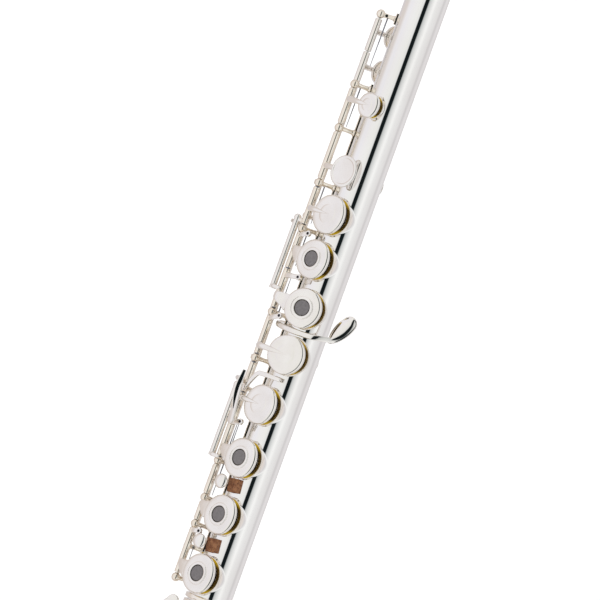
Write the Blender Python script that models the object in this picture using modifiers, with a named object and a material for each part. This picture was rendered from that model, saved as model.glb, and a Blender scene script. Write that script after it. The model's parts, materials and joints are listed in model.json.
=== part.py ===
"""Concert flute with open holes, an offset G, a split E and a C foot.

Lengths are in millimetres while a piece is shaped, and keep() turns them into metres.
+X runs along the tube from the crown to the foot, +Y points away from the player and
+Z up through the main cups. The origin is the middle of the crown's flat end.
A roll is an angle about the tube from +Z, positive towards +Y, in degrees.
"""
import math

import bmesh
import bpy
from mathutils import Matrix, Vector

MM = 0.001
GAP = 0.3                       # between pieces that touch on the real object
SLIVER = 0.004                  # shorter edges are closed up

# Tubes
TUBE_R = 9.9
BORE_R = 9.5
SLEEVE_BORE_R = TUBE_R + GAP    # barrel and foot socket
SLEEVE_R = 10.8
RING_R = 11.4
TUBE_SIDES = 24
TUBE_TWIST = 0.031              # radians, keeps the tube's edges off the tone holes' planes

# Head joint
HEAD_START, HEAD_END = 11.4, 213.4
HEAD_TAPER_END = 165.0
HEAD_SMALL_R = 8.9
WALL = TUBE_R - BORE_R
EMBOUCHURE_X = 57.0
EMBOUCHURE_HALF = (6.1, 5.1)    # half length along X and half width
LIP_PLATE_HALF_LENGTH = 32.0
LIP_PLATE_ROLLS = (-88.0, 66.0)
LIP_PLATE_TOP_R = 14.0
LIP_PLATE_EDGE_R = 10.9
LIP_PLATE_THICKNESS = 0.9
RISER_WALL = 1.2

# Body and foot
BARREL_START, BARREL_END = 183.0, 225.5
BODY_START, BODY_END = 214.0, 533.4
BODY_RING = (521.4, 523.9)
FOOT_START, FOOT_END = 524.5, 648.0
SOCKET_END = 534.2
FOOT_ROLL = 20.0                # the foot is set turned towards the far side

# Tone holes: hole radius, chimney radius, rim radius, cup radius
RIM_Z = 12.3
LARGE = (7.3, 7.9, 8.3, 9.3)
MEDIUM = (6.2, 6.8, 7.2, 8.0)
SMALL = (3.4, 4.0, 4.4, 6.05)
HOLE_SIDES = 14
BACK_ROLL = -156.0              # thumb and G sharp holes, under the tube
TRILL_ROLL = -110.0
OFFSET_ROLL = 17.0              # G and lower G

# Cups and pads, heights above the pad's seat
SEAT_Z = RIM_Z + 0.15
CUP_HEIGHT = 2.7
CUP_TOP_Z = SEAT_Z + CUP_HEIGHT
PAD_THICKNESS = 1.7
CUP_WALL = 0.5
CUP_LIP = 0.5                   # the pad stands this far out of the cup
OPEN_HOLE_R = 4.15
PAD_HOLE_R = 4.6
PLUG_R = 3.8
OPEN_ANGLE = 6.5                # degrees that a sprung-open key stands off its hole

# Hinge lines
SLEEVE_OUT_R = 1.65
SLEEVE_IN_R = 1.2
STEEL_R = 0.9
HINGE_SIDES = 8
POST_BALL_R = 2.1
POST_STEM_R = 1.1
RIB_R = (TUBE_R + GAP, 11.0)
RIB_ROLLS = (-80.0, -57.0)
BACK_RIB_ROLLS = (-110.0, -96.0)
CONNECTOR_R = 1.5

BUTTON_R = 3.15
BUTTON_Y = -4.6
CORK_HALF_LENGTH = 3.2


def polar(roll, radius, x=0.0):
    """Point at a roll angle and a distance from the tube's axis."""
    angle = math.radians(roll)
    return Vector((x, radius * math.sin(angle), radius * math.cos(angle)))


MAIN_LINE = Vector((0.0, -14.2, 11.3))
TRILL_LINE = Vector((0.0, -16.2, 7.8))
SIDE_LINE = Vector((0.0, -19.0, 4.2))
CONNECTOR_LINE = Vector((0.0, -18.2, 12.0))
THUMB_LINE = polar(-117.8, 17.6)
FOOT_FRAME = Matrix.Rotation(math.radians(-FOOT_ROLL), 4, 'X')

# name, hole x, roll, size, open hole, sleeve from, sleeve to
STACK_KEYS = (
    ("b", 337.5, 0.0, LARGE, False, 327.5, 345.2),
    ("a", 359.2, 0.0, LARGE, True, 349.6, 366.5),
    ("g", 381.7, OFFSET_ROLL, LARGE, True, 367.1, 385.7),
    ("lower_g", 404.3, OFFSET_ROLL, LARGE, False, 390.3, 408.1),
    ("f_sharp", 429.6, 0.0, LARGE, False, 427.4, 440.0),
    ("f", 455.5, 0.0, LARGE, True, 440.6, 458.1),
    ("e", 483.0, 0.0, LARGE, True, 480.6, 489.0),
    ("d", 511.6, 0.0, LARGE, True, 493.4, 514.9),
)
C_SHARP_X = 284.5
L1_PLATE_X = 316.7
L1_PLATE_R = 7.5
D_SHARP_TRILL_X, D_TRILL_X = 250.9, 267.8
D_BUTTON_X, D_SHARP_BUTTON_X = 468.6, 497.6
THUMB_X = 317.9
G_SHARP_X = 404.3
E_FLAT_X, LOW_C_SHARP_X, LOW_C_X = 542.7, 575.7, 610.6

MAIN_POSTS = (277.2, 298.4, 325.2, 347.4, 388.0, 410.4, 460.4, 478.4, 491.2, 517.2)
TRILL_POSTS = (242.7, 502.0)
TRILL_GUIDES = (325.2, 410.4)
SIDE_POSTS = (341.3, 425.2)
THUMB_POSTS = (293.7, 329.3)
G_SHARP_POSTS = (386.8, 411.9)
FOOT_POSTS = (536.9, 552.0, 619.8)

IDENTITY = Matrix()


# ---------------------------------------------------------------- scene and materials

for old in list(bpy.data.objects):
    bpy.data.objects.remove(old)


def new_collection(name):
    """Collection of that name under the scene."""
    collection = bpy.data.collections.new(name)
    bpy.context.scene.collection.children.link(collection)
    return collection


PARTS = new_collection("concert_flute")
CUTTERS = new_collection("cutters")


def material(name, colour, metallic, roughness):
    """Plain Principled material."""
    made = bpy.data.materials.new(name)
    made.use_nodes = True
    shader = made.node_tree.nodes["Principled BSDF"]
    shader.inputs["Base Color"].default_value = (*colour, 1.0)
    shader.inputs["Metallic"].default_value = metallic
    shader.inputs["Roughness"].default_value = roughness
    return made


SILVER = material("silver_plate", (0.93, 0.91, 0.88), 1.0, 0.10)
STEEL = material("blued_steel", (0.30, 0.31, 0.34), 1.0, 0.30)
PAD_SKIN = material("pad_skin", (0.62, 0.50, 0.16), 0.0, 0.45)
CORK = material("cork", (0.36, 0.17, 0.09), 0.0, 0.80)
PLUG_GREY = material("plug_grey", (0.18, 0.17, 0.17), 0.0, 0.60)


# ---------------------------------------------------------------- basic solids

def helper(mesh):
    """Working solid: hidden in renders, drawn as wire, in the cutters collection."""
    solid = bpy.data.objects.new("working_solid", mesh)
    solid.display_type = 'WIRE'
    solid.hide_render = True
    CUTTERS.objects.link(solid)
    return solid


def from_bmesh(bm, place=IDENTITY):
    """Working solid from a bmesh."""
    mesh = bpy.data.meshes.new("working_mesh")
    bmesh.ops.transform(bm, matrix=place, verts=bm.verts)
    bm.to_mesh(mesh)
    bm.free()
    return helper(mesh)


def baked(source):
    """Evaluated copy of an object's mesh in world space; the source object is removed."""
    depsgraph = bpy.context.evaluated_depsgraph_get()
    mesh = bpy.data.meshes.new_from_object(source.evaluated_get(depsgraph))
    mesh.transform(source.matrix_world)
    bpy.data.objects.remove(source)
    return mesh


def welded(mesh):
    """The mesh with its loose caps joined and its faces pointing out."""
    bm = bmesh.new()
    bm.from_mesh(mesh)
    bmesh.ops.remove_doubles(bm, verts=bm.verts, dist=0.0005)
    bmesh.ops.recalc_face_normals(bm, faces=bm.faces)
    bm.to_mesh(mesh)
    bm.free()
    return mesh


def cleaned(mesh):
    """The mesh without the tiny edges and slivers that a Boolean leaves."""
    bm = bmesh.new()
    bm.from_mesh(mesh)
    bmesh.ops.dissolve_degenerate(bm, dist=SLIVER, edges=bm.edges)
    bmesh.ops.remove_doubles(bm, verts=bm.verts, dist=SLIVER)
    bmesh.ops.triangulate(bm, faces=bm.faces)
    bmesh.ops.dissolve_degenerate(bm, dist=SLIVER, edges=bm.edges)
    bm.to_mesh(mesh)
    bm.free()
    return mesh


def rod(start, end, radius, sides=HINGE_SIDES, end_radius=None):
    """Round bar, or a cone, between two points."""
    start, end = Vector(start), Vector(end)
    along = end - start
    place = Matrix.Translation((start + end) / 2) @ along.to_track_quat('Z', 'Y').to_matrix().to_4x4()
    bm = bmesh.new()
    bmesh.ops.create_cone(bm, cap_ends=True, segments=sides, radius1=radius,
                          radius2=radius if end_radius is None else end_radius,
                          depth=along.length)
    return from_bmesh(bm, place)


def ball(centre, radius):
    """Small ball."""
    bm = bmesh.new()
    bmesh.ops.create_uvsphere(bm, u_segments=7, v_segments=4, radius=radius)
    return from_bmesh(bm, Matrix.Translation(centre))


def block(centre, size):
    """Box by its centre and size."""
    bm = bmesh.new()
    bmesh.ops.create_cube(bm, size=1.0)
    return from_bmesh(bm, Matrix.Translation(centre) @ Matrix.Diagonal((*size, 1.0)))


def turned(profile, place=IDENTITY, sides=HOLE_SIDES):
    """Turn (radius, height) points about local Z, outer side from top to bottom."""
    on_axis = profile[0][0] == 0.0
    count = len(profile)
    edges = [(i, i + 1) for i in range(count - 1)]
    if not on_axis:
        edges.append((count - 1, 0))
    mesh = bpy.data.meshes.new("profile")
    mesh.from_pydata([(r, 0.0, z) for r, z in profile], edges, [])
    source = helper(mesh)
    screw = source.modifiers.new("turn", 'SCREW')
    screw.axis = 'Z'
    screw.steps = sides
    screw.render_steps = sides
    screw.use_merge_vertices = True
    screw.merge_threshold = 0.0001
    made = welded(baked(source))
    made.transform(place)
    return helper(made)


def bent(points, radii):
    """Round arm through the points, with a radius at each."""
    curve = bpy.data.curves.new("arm", 'CURVE')
    curve.dimensions = '3D'
    curve.bevel_depth = 1.0
    curve.bevel_resolution = 1
    curve.use_fill_caps = True
    spline = curve.splines.new('POLY')
    spline.points.add(len(points) - 1)
    for point, where, radius in zip(spline.points, points, radii):
        point.co = (*where, 1.0)
        point.radius = radius
    source = bpy.data.objects.new("arm", curve)
    CUTTERS.objects.link(source)
    return helper(welded(baked(source)))


def plate(outline, thickness, place=IDENTITY):
    """Flat plate from a 2D outline, its middle on the local XY plane."""
    curve = bpy.data.curves.new("plate", 'CURVE')
    curve.dimensions = '2D'
    curve.fill_mode = 'BOTH'
    curve.extrude = thickness / 2
    spline = curve.splines.new('POLY')
    spline.points.add(len(outline) - 1)
    for point, (across, up) in zip(spline.points, outline):
        point.co = (across, up, 0.0, 1.0)
    spline.use_cyclic_u = True
    source = bpy.data.objects.new("plate", curve)
    source.matrix_world = place
    CUTTERS.objects.link(source)
    bpy.context.view_layer.update()
    return helper(welded(baked(source)))


def paddle(start, end, start_r, end_r, normal, thickness=1.2):
    """Touch plate: two round ends of different size and the straight sides between."""
    start, end, normal = Vector(start), Vector(end), Vector(normal).normalized()
    along = end - start
    length = along.length
    lean = math.asin((start_r - end_r) / length)
    steps = 5
    outline = []
    for i in range(steps + 1):
        angle = math.pi / 2 - lean - i * (math.pi - 2 * lean) / steps
        outline.append((length + end_r * math.cos(angle), end_r * math.sin(angle)))
    for i in range(steps + 1):
        angle = -math.pi / 2 + lean - i * (math.pi + 2 * lean) / steps
        outline.append((start_r * math.cos(angle), start_r * math.sin(angle)))
    forward = along.normalized()
    side = normal.cross(forward).normalized()
    up = forward.cross(side)
    place = Matrix.Translation(start) @ Matrix((forward, side, up)).transposed().to_4x4()
    return plate(outline, thickness, place)


def along_x(x):
    """Frame whose local Z is world +X, starting at x on the tube's axis."""
    return Matrix.Translation((x, 0, 0)) @ Matrix.Rotation(math.pi / 2, 4, 'Y')


def turned_x(outline):
    """Turn (radius, x) points about the tube's axis, given from the crown's end."""
    twist = Matrix.Rotation(TUBE_TWIST, 4, 'Z')
    return turned([(r, x) for r, x in reversed(outline)], along_x(0.0) @ twist, TUBE_SIDES)


# ---------------------------------------------------------------- finishing a part

def keep(mesh, name, finish, pivot):
    """Make the finished mesh a named part in metres, its origin on the pivot."""
    mesh.transform(Matrix.Diagonal((MM, MM, MM, 1.0)) @ Matrix.Translation(-pivot))
    mesh.name = name
    mesh.materials.clear()
    mesh.materials.append(finish)
    mesh.shade_smooth()
    mesh.set_sharp_from_angle(angle=math.radians(35))
    part = bpy.data.objects.new(name, mesh)
    part.location = pivot * MM
    PARTS.objects.link(part)
    return part


def fuse(name, finish, solids, cuts=(), place=IDENTITY, pivot=Vector()):
    """Join the solids, take the cuts away and keep the result as one part."""
    base = solids[0]
    steps = [('UNION', solid) for solid in solids[1:]]
    steps += [('DIFFERENCE', solid) for solid in cuts]
    for operation, solid in steps:
        modifier = base.modifiers.new("join", 'BOOLEAN')
        modifier.operation = operation
        modifier.solver = 'EXACT'
        modifier.object = solid
    mesh = cleaned(baked(base))
    for _, solid in steps:
        bpy.data.objects.remove(solid)
    mesh.transform(place)
    return keep(mesh, name, finish, place @ pivot)


# ---------------------------------------------------------------- frames and hinges

def station(x, roll):
    """Frame on the tube's axis at x whose local +Z points out at that roll."""
    return Matrix.Translation((x, 0, 0)) @ Matrix.Rotation(math.radians(-roll), 4, 'X')


def on_line(line, x):
    """Point of a hinge line at x."""
    return Vector((x, line.y, line.z))


def swung(line, degrees):
    """Rotation about a hinge line; positive lifts what lies on its far side."""
    there = Matrix.Translation(line)
    return there @ Matrix.Rotation(math.radians(degrees), 4, 'X') @ there.inverted()


def sleeve(line, start, end):
    """Outside of a hinge tube."""
    return rod(on_line(line, start), on_line(line, end), SLEEVE_OUT_R)


def sleeve_bore(line, start, end, radius=SLEEVE_IN_R):
    """Cutter for the bore of a hinge tube or of a row of posts."""
    return rod(on_line(line, start - 1.0), on_line(line, end + 1.0), radius)


def core(line, start, end):
    """Steel that turns with its key."""
    return rod(on_line(line, start), on_line(line, end), STEEL_R)


# ---------------------------------------------------------------- cups, pads, arms

def cup(x, roll, size, open_hole):
    """Cup over a closed hole."""
    radius = size[3]
    inner = OPEN_HOLE_R if open_hole else 0.0
    profile = [
        (inner, CUP_HEIGHT),
        (radius - 1.2, CUP_HEIGHT - 0.1),
        (radius, CUP_HEIGHT - 1.1),
        (radius, CUP_LIP),
        (radius - CUP_WALL, CUP_LIP),
        (radius - CUP_WALL, PAD_THICKNESS + GAP),
        (inner, PAD_THICKNESS + GAP),
    ]
    return turned(profile, station(x, roll) @ Matrix.Translation((0, 0, SEAT_Z)))


def pad(name, x, roll, size, open_hole, place):
    """Pad under a cup, a ring where the cup is open."""
    radius = size[3] - CUP_WALL - GAP
    inner = PAD_HOLE_R if open_hole else 0.0
    profile = [(inner, PAD_THICKNESS), (radius, PAD_THICKNESS), (radius, 0.0), (inner, 0.0)]
    seat = station(x, roll) @ Matrix.Translation((0, 0, SEAT_Z))
    return fuse(name, PAD_SKIN, [turned(profile, seat)], place=place,
                pivot=seat.translation.copy())


def plug(name, x, roll, place):
    """Grey plug in the middle of an open cup."""
    profile = [
        (0.0, CUP_HEIGHT - 0.05),
        (PLUG_R - 0.3, CUP_HEIGHT - 0.05),
        (PLUG_R, CUP_HEIGHT - 0.3),
        (PLUG_R, 0.9),
        (0.0, 0.9),
    ]
    seat = station(x, roll) @ Matrix.Translation((0, 0, SEAT_Z))
    return fuse(name, PLUG_GREY, [turned(profile, seat)], place=place,
                pivot=seat.translation.copy())


def cup_arm(line, x, roll, size, open_hole):
    """Arm from a hinge line over the edge of a cup, pointed when the cup is closed."""
    frame = station(x, roll)
    hinge = frame.inverted() @ on_line(line, x)
    side = math.copysign(1.0, hinge.y)
    tip = side * (OPEN_HOLE_R + 1.1) if open_hole else -side * 0.6
    local = [
        (0.0, hinge.y, hinge.z),
        (0.0, hinge.y * 0.86, max(CUP_TOP_Z - 1.9, hinge.z + 0.9)),
        (0.0, side * size[3] * 0.84, CUP_TOP_Z + 0.3),
        (0.0, tip, CUP_TOP_Z + 0.1),
    ]
    radii = (1.35, 1.25, 1.05, 0.7 if open_hole else 0.4)
    return bent([frame @ Vector(point) for point in local], radii)


# ---------------------------------------------------------------- tubes

def chimney(x, roll, size):
    """Raised tone hole: its wall, a little wider at the rim, and its cutter."""
    hole_r, wall_r, rim_r, _ = size
    frame = station(x, roll)
    base, rim = frame @ Vector((0, 0, 4.5)), frame @ Vector((0, 0, RIM_Z))
    wall = rod(base, rim, wall_r, HOLE_SIDES, rim_r)
    cut = rod(frame @ Vector((0, 0, 3.5)), frame @ Vector((0, 0, RIM_Z + 1.0)), hole_r, HOLE_SIDES)
    return wall, cut


def drawn_tube(name, outside, bore, holes, place=IDENTITY):
    """Tube with its chimneys, given as solids of the outside and of the bore."""
    solids, cuts = [outside], []
    for hole in holes:
        wall, cut = chimney(*hole)
        solids.append(wall)
        cuts.append(cut)
    return fuse(name, SILVER, solids, cuts + [bore], place)


def make_body_tube():
    """Body tube with thirteen tone holes and the ring before the foot."""
    ring_start, ring_end = BODY_RING
    outside = turned_x([
        (0.0, BODY_START), (TUBE_R, BODY_START), (TUBE_R, ring_start),
        (RING_R, ring_start + 0.3), (RING_R, ring_end - 0.3), (TUBE_R, ring_end),
        (TUBE_R, BODY_END), (0.0, BODY_END),
    ])
    bore = turned_x([(0.0, BODY_START - 1), (BORE_R, BODY_START - 1), (BORE_R, BODY_END + 1),
                     (0.0, BODY_END + 1)])
    holes = [(x, roll, size) for _, x, roll, size, _, _, _ in STACK_KEYS]
    holes += [
        (C_SHARP_X, 0.0, SMALL),
        (D_SHARP_TRILL_X, TRILL_ROLL, SMALL),
        (D_TRILL_X, TRILL_ROLL, SMALL),
        (THUMB_X, BACK_ROLL, MEDIUM),
        (G_SHARP_X, BACK_ROLL, MEDIUM),
    ]
    drawn_tube("body_tube", outside, bore, holes)


def make_foot_tube():
    """Foot tube with its socket, three tone holes and the end ring."""
    outside = turned_x([
        (0.0, FOOT_START), (RING_R, FOOT_START), (RING_R, FOOT_START + 1.8),
        (SLEEVE_R, FOOT_START + 2.1), (SLEEVE_R, SOCKET_END), (TUBE_R, SOCKET_END + 0.5),
        (TUBE_R, FOOT_END - 2.4), (TUBE_R + 0.8, FOOT_END - 2.1), (TUBE_R + 0.8, FOOT_END),
        (0.0, FOOT_END),
    ])
    bore = turned_x([
        (0.0, FOOT_START - 1), (SLEEVE_BORE_R, FOOT_START - 1), (SLEEVE_BORE_R, SOCKET_END - 0.4),
        (BORE_R, SOCKET_END), (BORE_R, FOOT_END + 1), (0.0, FOOT_END + 1),
    ])
    holes = [(x, 0.0, LARGE) for x in (E_FLAT_X, LOW_C_SHARP_X, LOW_C_X)]
    drawn_tube("foot_tube", outside, bore, holes, FOOT_FRAME)


def make_barrel():
    """Socket that the head joint slides in."""
    ring = 2.0
    fuse("barrel", SILVER, [turned_x([
        (SLEEVE_BORE_R, BARREL_START), (RING_R, BARREL_START), (RING_R, BARREL_START + ring),
        (SLEEVE_R, BARREL_START + ring + 0.2), (SLEEVE_R, BARREL_END - ring - 0.2),
        (RING_R, BARREL_END - ring), (RING_R, BARREL_END), (SLEEVE_BORE_R, BARREL_END),
    ])])


# ---------------------------------------------------------------- head joint

def head_radius(x):
    """Outer radius of the head tube, wider towards the body."""
    share = min(1.0, (x - HEAD_START) / (HEAD_TAPER_END - HEAD_START))
    return HEAD_SMALL_R + (TUBE_R - HEAD_SMALL_R) * math.sqrt(max(0.0, share))


def oval_prism(half_x, half_y, low, high):
    """Upright oval bar over the embouchure."""
    steps = 24
    outline = [(half_x * math.cos(2 * math.pi * i / steps), half_y * math.sin(2 * math.pi * i / steps))
               for i in range(steps)]
    return plate(outline, high - low, Matrix.Translation((EMBOUCHURE_X, 0, (low + high) / 2)))


def make_head_tube():
    """Tapered head tube with the hole under the riser."""
    stations = [HEAD_START, 20.0, 40.0, 75.0, 120.0, HEAD_TAPER_END, HEAD_END]
    outer = [(head_radius(x), x) for x in stations]
    inner = [(head_radius(x) - WALL, x) for x in reversed(stations)]
    tube = turned_x([inner[-1]] + outer + inner[:-1])
    hole = oval_prism(*EMBOUCHURE_HALF, 5.0, 12.0)
    fuse("head_tube", SILVER, [tube], [hole])


def lip_plate_radius(roll):
    """Height of the lip plate's middle surface over the tube's axis."""
    low, high = LIP_PLATE_ROLLS
    limit = high if roll > 0 else low
    return LIP_PLATE_TOP_R - (LIP_PLATE_TOP_R - LIP_PLATE_EDGE_R) * (roll / limit) ** 2


def make_lip_plate():
    """Curved oval plate around the embouchure hole."""
    low, high = LIP_PLATE_ROLLS
    middle_roll, half_roll = (low + high) / 2, (high - low) / 2
    hole_roll = math.degrees(math.asin(EMBOUCHURE_HALF[1] / LIP_PLATE_TOP_R))
    rings, steps = 4, 32
    bm = bmesh.new()
    rows = []
    for ring in range(rings + 1):
        share = ring / rings
        row = []
        for i in range(steps):
            angle = 2 * math.pi * i / steps
            half_x = EMBOUCHURE_HALF[0] + (LIP_PLATE_HALF_LENGTH - EMBOUCHURE_HALF[0]) * share
            roll = middle_roll * share + (hole_roll + (half_roll - hole_roll) * share) * math.sin(angle)
            x = EMBOUCHURE_X + half_x * math.cos(angle)
            row.append(bm.verts.new(polar(roll, lip_plate_radius(roll), x)))
        rows.append(row)
    for inside, outside in zip(rows, rows[1:]):
        for i in range(steps):
            j = (i + 1) % steps
            bm.faces.new((inside[i], outside[i], outside[j], inside[j]))
    sheet = from_bmesh(bm)
    solidify = sheet.modifiers.new("thickness", 'SOLIDIFY')
    solidify.thickness = LIP_PLATE_THICKNESS
    solidify.offset = 0.0
    keep(baked(sheet), "lip_plate", SILVER, Vector((EMBOUCHURE_X, 0, 0)))


def make_riser():
    """Oval chimney between the head tube and the lip plate."""
    half_x, half_y = EMBOUCHURE_HALF
    outer = oval_prism(half_x + RISER_WALL, half_y + RISER_WALL, 6.0, 16.0)
    inner = oval_prism(half_x, half_y, 5.0, 17.0)
    tube_r = head_radius(EMBOUCHURE_X + 8.0) + GAP
    under = rod((EMBOUCHURE_X - 20, 0, 0), (EMBOUCHURE_X + 20, 0, 0), tube_r, TUBE_SIDES)
    roof = turned_x([
        (LIP_PLATE_TOP_R - 1.5, EMBOUCHURE_X - 10), (18.0, EMBOUCHURE_X - 10),
        (18.0, EMBOUCHURE_X + 10), (LIP_PLATE_TOP_R - 1.5, EMBOUCHURE_X + 10),
    ])
    fuse("riser", SILVER, [outer], [inner, under, roof])


def make_crown_and_stopper():
    """Crown, the screw with two plates behind it, and the cork between the plates."""
    fuse("crown", SILVER, [turned_x([
        (0.0, 0.0), (6.4, 0.0), (8.3, 0.9), (9.4, 2.6), (9.6, 4.0), (9.6, 9.4), (9.2, 11.0),
        (8.1, 11.0), (8.1, 15.0), (1.95, 15.0), (1.95, 3.2), (0.0, 3.2),
    ])])
    fuse("stopper_screw", SILVER, [turned_x([
        (0.0, 5.2), (1.6, 5.2), (1.6, 23.5), (8.1, 23.5), (8.1, 24.7), (1.6, 24.7),
        (1.6, 38.7), (8.2, 38.7), (8.2, 39.7), (0.0, 39.7),
    ])])
    fuse("stopper_cork", CORK, [turned_x([
        (1.9, 25.0), (8.15, 25.0), (8.15, 38.4), (1.9, 38.4),
    ])])


# ---------------------------------------------------------------- ribs and posts

def rib_strip(rolls, start, end):
    """Strip that follows the tube, from x to x."""
    steps = 4
    span = [rolls[0] + (rolls[1] - rolls[0]) * i / steps for i in range(steps + 1)]
    edge = [polar(roll, RIB_R[1]) for roll in span] + [polar(roll, RIB_R[0]) for roll in reversed(span)]
    outline = [(-point.z, point.y) for point in edge]
    return plate(outline, end - start, along_x((start + end) / 2))


def post(line, x, foot_roll):
    """Ball-headed post from the rib to a hinge line."""
    foot = polar(foot_roll, RIB_R[1] - 0.4, x)
    return [rod(foot, on_line(line, x), POST_STEM_R, 6), ball(on_line(line, x), POST_BALL_R)]


def make_main_rib():
    """Long rib with every post of the body's near side."""
    solids = [rib_strip(RIB_ROLLS, 240.0, 520.0)]
    cuts = [sleeve_bore(MAIN_LINE, MAIN_POSTS[0] - 3, MAIN_POSTS[-1] + 3),
            sleeve_bore(TRILL_LINE, TRILL_POSTS[0] - 3, TRILL_POSTS[0] + 3),
            sleeve_bore(TRILL_LINE, TRILL_POSTS[1] - 3, TRILL_POSTS[1] + 3)]
    for x in MAIN_POSTS:
        solids += post(MAIN_LINE, x, -59.5)
    for x in TRILL_POSTS:
        solids += post(TRILL_LINE, x, -66.0)
    for x in SIDE_POSTS:
        solids += post(SIDE_LINE, x, -72.0)
        cuts.append(sleeve_bore(SIDE_LINE, x - 3, x + 3))
    for x in TRILL_GUIDES:
        solids.append(rod(on_line(TRILL_LINE, x - 1.2), on_line(TRILL_LINE, x + 1.2), 2.6))
        cuts.append(rod(on_line(TRILL_LINE, x - 3), on_line(TRILL_LINE, x + 3), SLEEVE_OUT_R + GAP))
    fuse("main_rib", SILVER, solids, cuts)


def make_small_rib(name, line, rolls, foot_roll, posts, place=IDENTITY, pivot=Vector()):
    """Short rib with the posts of one hinge line."""
    solids = [rib_strip(rolls, posts[0] - 1.6, posts[-1] + 2.6)]
    for x in posts:
        solids += post(line, x, foot_roll)
    cuts = [sleeve_bore(line, posts[0] - 3, posts[-1] + 3)]
    fuse(name, SILVER, solids, cuts, place, pivot)


def make_steels():
    """Loose steels of the main stack and of the thumb keys."""
    fuse("main_steel", STEEL, [core(MAIN_LINE, 325.5, 460.1)], pivot=on_line(MAIN_LINE, 325.5))
    fuse("thumb_steel", STEEL, [core(THUMB_LINE, THUMB_POSTS[0] - 1.5, THUMB_POSTS[1] + 1.5)],
         pivot=on_line(THUMB_LINE, THUMB_X))


# ---------------------------------------------------------------- keys of the main line

def connector(start, end, arm_x, finger_x):
    """Back connector tube with the arm that carries it and its end finger."""
    finger = [on_line(CONNECTOR_LINE, finger_x), Vector((finger_x, -16.4, 14.7)),
              Vector((finger_x, -12.8, 14.7))]
    return [
        rod(on_line(CONNECTOR_LINE, start), on_line(CONNECTOR_LINE, end), CONNECTOR_R),
        rod(on_line(MAIN_LINE, arm_x), on_line(CONNECTOR_LINE, arm_x), 1.1, 8),
        bent(finger, (1.0, 0.9, 0.8)),
        ball(on_line(CONNECTOR_LINE, start), CONNECTOR_R + 0.25),
    ]


def moved(solids, matrix):
    """The same solids, moved."""
    for solid in solids:
        solid.data.transform(matrix)
    return solids


def make_stack_keys():
    """Keys of the main line, standing open."""
    lift = swung(MAIN_LINE, OPEN_ANGLE)
    extras = {
        "b": lambda: moved(connector(343.4, 377.9, 344.2, 376.7), lift.inverted()),
        "f_sharp": lambda: moved(connector(424.8, 459.4, 436.5, 458.6), lift.inverted()),
        "e": lambda: [sleeve(MAIN_LINE, 462.7, 476.1), core(MAIN_LINE, 460.7, 490.9)],
        "d": lambda: [core(MAIN_LINE, 491.5, 518.8)],
    }
    for name, x, roll, size, open_hole, start, end in STACK_KEYS:
        solids = [sleeve(MAIN_LINE, start, end), cup(x, roll, size, open_hole),
                  cup_arm(MAIN_LINE, x, roll, size, open_hole)]
        solids += extras.get(name, list)()
        pinned = name in ("e", "d")
        cuts = [] if pinned else [sleeve_bore(MAIN_LINE, start, end)]
        fuse(name + "_key", SILVER, solids, cuts, lift, on_line(MAIN_LINE, x))
        pad(name + "_pad", x, roll, size, open_hole, lift)
        if open_hole:
            plug(name + "_plug", x, roll, lift)


def make_c_sharp_key():
    """Small C sharp cup and its touch plate on one pinned steel."""
    lift = swung(MAIN_LINE, OPEN_ANGLE)
    low, high = CUP_TOP_Z - 1.6, CUP_TOP_Z - 0.2
    rim = turned([(0.0, high - 0.35), (L1_PLATE_R - 1.5, high - 0.35), (L1_PLATE_R - 1.2, high),
                  (L1_PLATE_R, high - 0.3), (L1_PLATE_R, low + 0.4), (L1_PLATE_R - 0.5, low),
                  (0.0, low)], station(L1_PLATE_X, 0.0))
    arm = bent([on_line(MAIN_LINE, L1_PLATE_X), Vector((L1_PLATE_X, -11.6, 13.0)),
                Vector((L1_PLATE_X, -6.0, 13.9)), Vector((L1_PLATE_X, 0.0, 13.9))],
               (1.35, 1.25, 1.0, 0.6))
    solids = [core(MAIN_LINE, 275.6, 324.9), sleeve(MAIN_LINE, 279.6, 296.0),
              sleeve(MAIN_LINE, 300.8, 322.8), cup(C_SHARP_X, 0.0, SMALL, False),
              cup_arm(MAIN_LINE, C_SHARP_X, 0.0, SMALL, False), rim, arm]
    fuse("c_sharp_key", SILVER, solids, (), lift, on_line(MAIN_LINE, C_SHARP_X))
    pad("c_sharp_pad", C_SHARP_X, 0.0, SMALL, False, lift)


def make_split_e_arm():
    """Arm beside the lower G cup, on its own hinge tube, pinned to the E key."""
    points = [(425.6, -14.2, 11.3), (424.2, -12.2, 13.4), (416.2, -7.4, 14.7), (415.4, -5.4, 14.8),
              (415.4, 4.6, 14.5)]
    solids = [sleeve(MAIN_LINE, 412.8, 426.8), bent([Vector(p) for p in points],
                                                    (1.2, 1.1, 0.9, 0.85, 0.7))]
    fuse("split_e_arm", SILVER, solids, [sleeve_bore(MAIN_LINE, 412.8, 426.8)],
         pivot=on_line(MAIN_LINE, 420.0))


# ---------------------------------------------------------------- trill keys

def trill_touch(x):
    """Round touch button and the arm from the trill line that passes under the main rod."""
    button = turned([(0.0, 16.5), (1.6, 16.3), (2.7, 15.7), (BUTTON_R, 14.9), (BUTTON_R - 0.4, 14.3),
                     (0.0, 14.3)], Matrix.Translation((x, BUTTON_Y, 0)), 16)
    path = [on_line(TRILL_LINE, x), Vector((x, -12.5, 8.0)), Vector((x, -9.2, 11.2)),
            Vector((x, -6.7, 13.8)), Vector((x, BUTTON_Y, 14.9))]
    return [button, bent(path, (1.3, 1.0, 0.9, 0.9, 0.9))]


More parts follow.
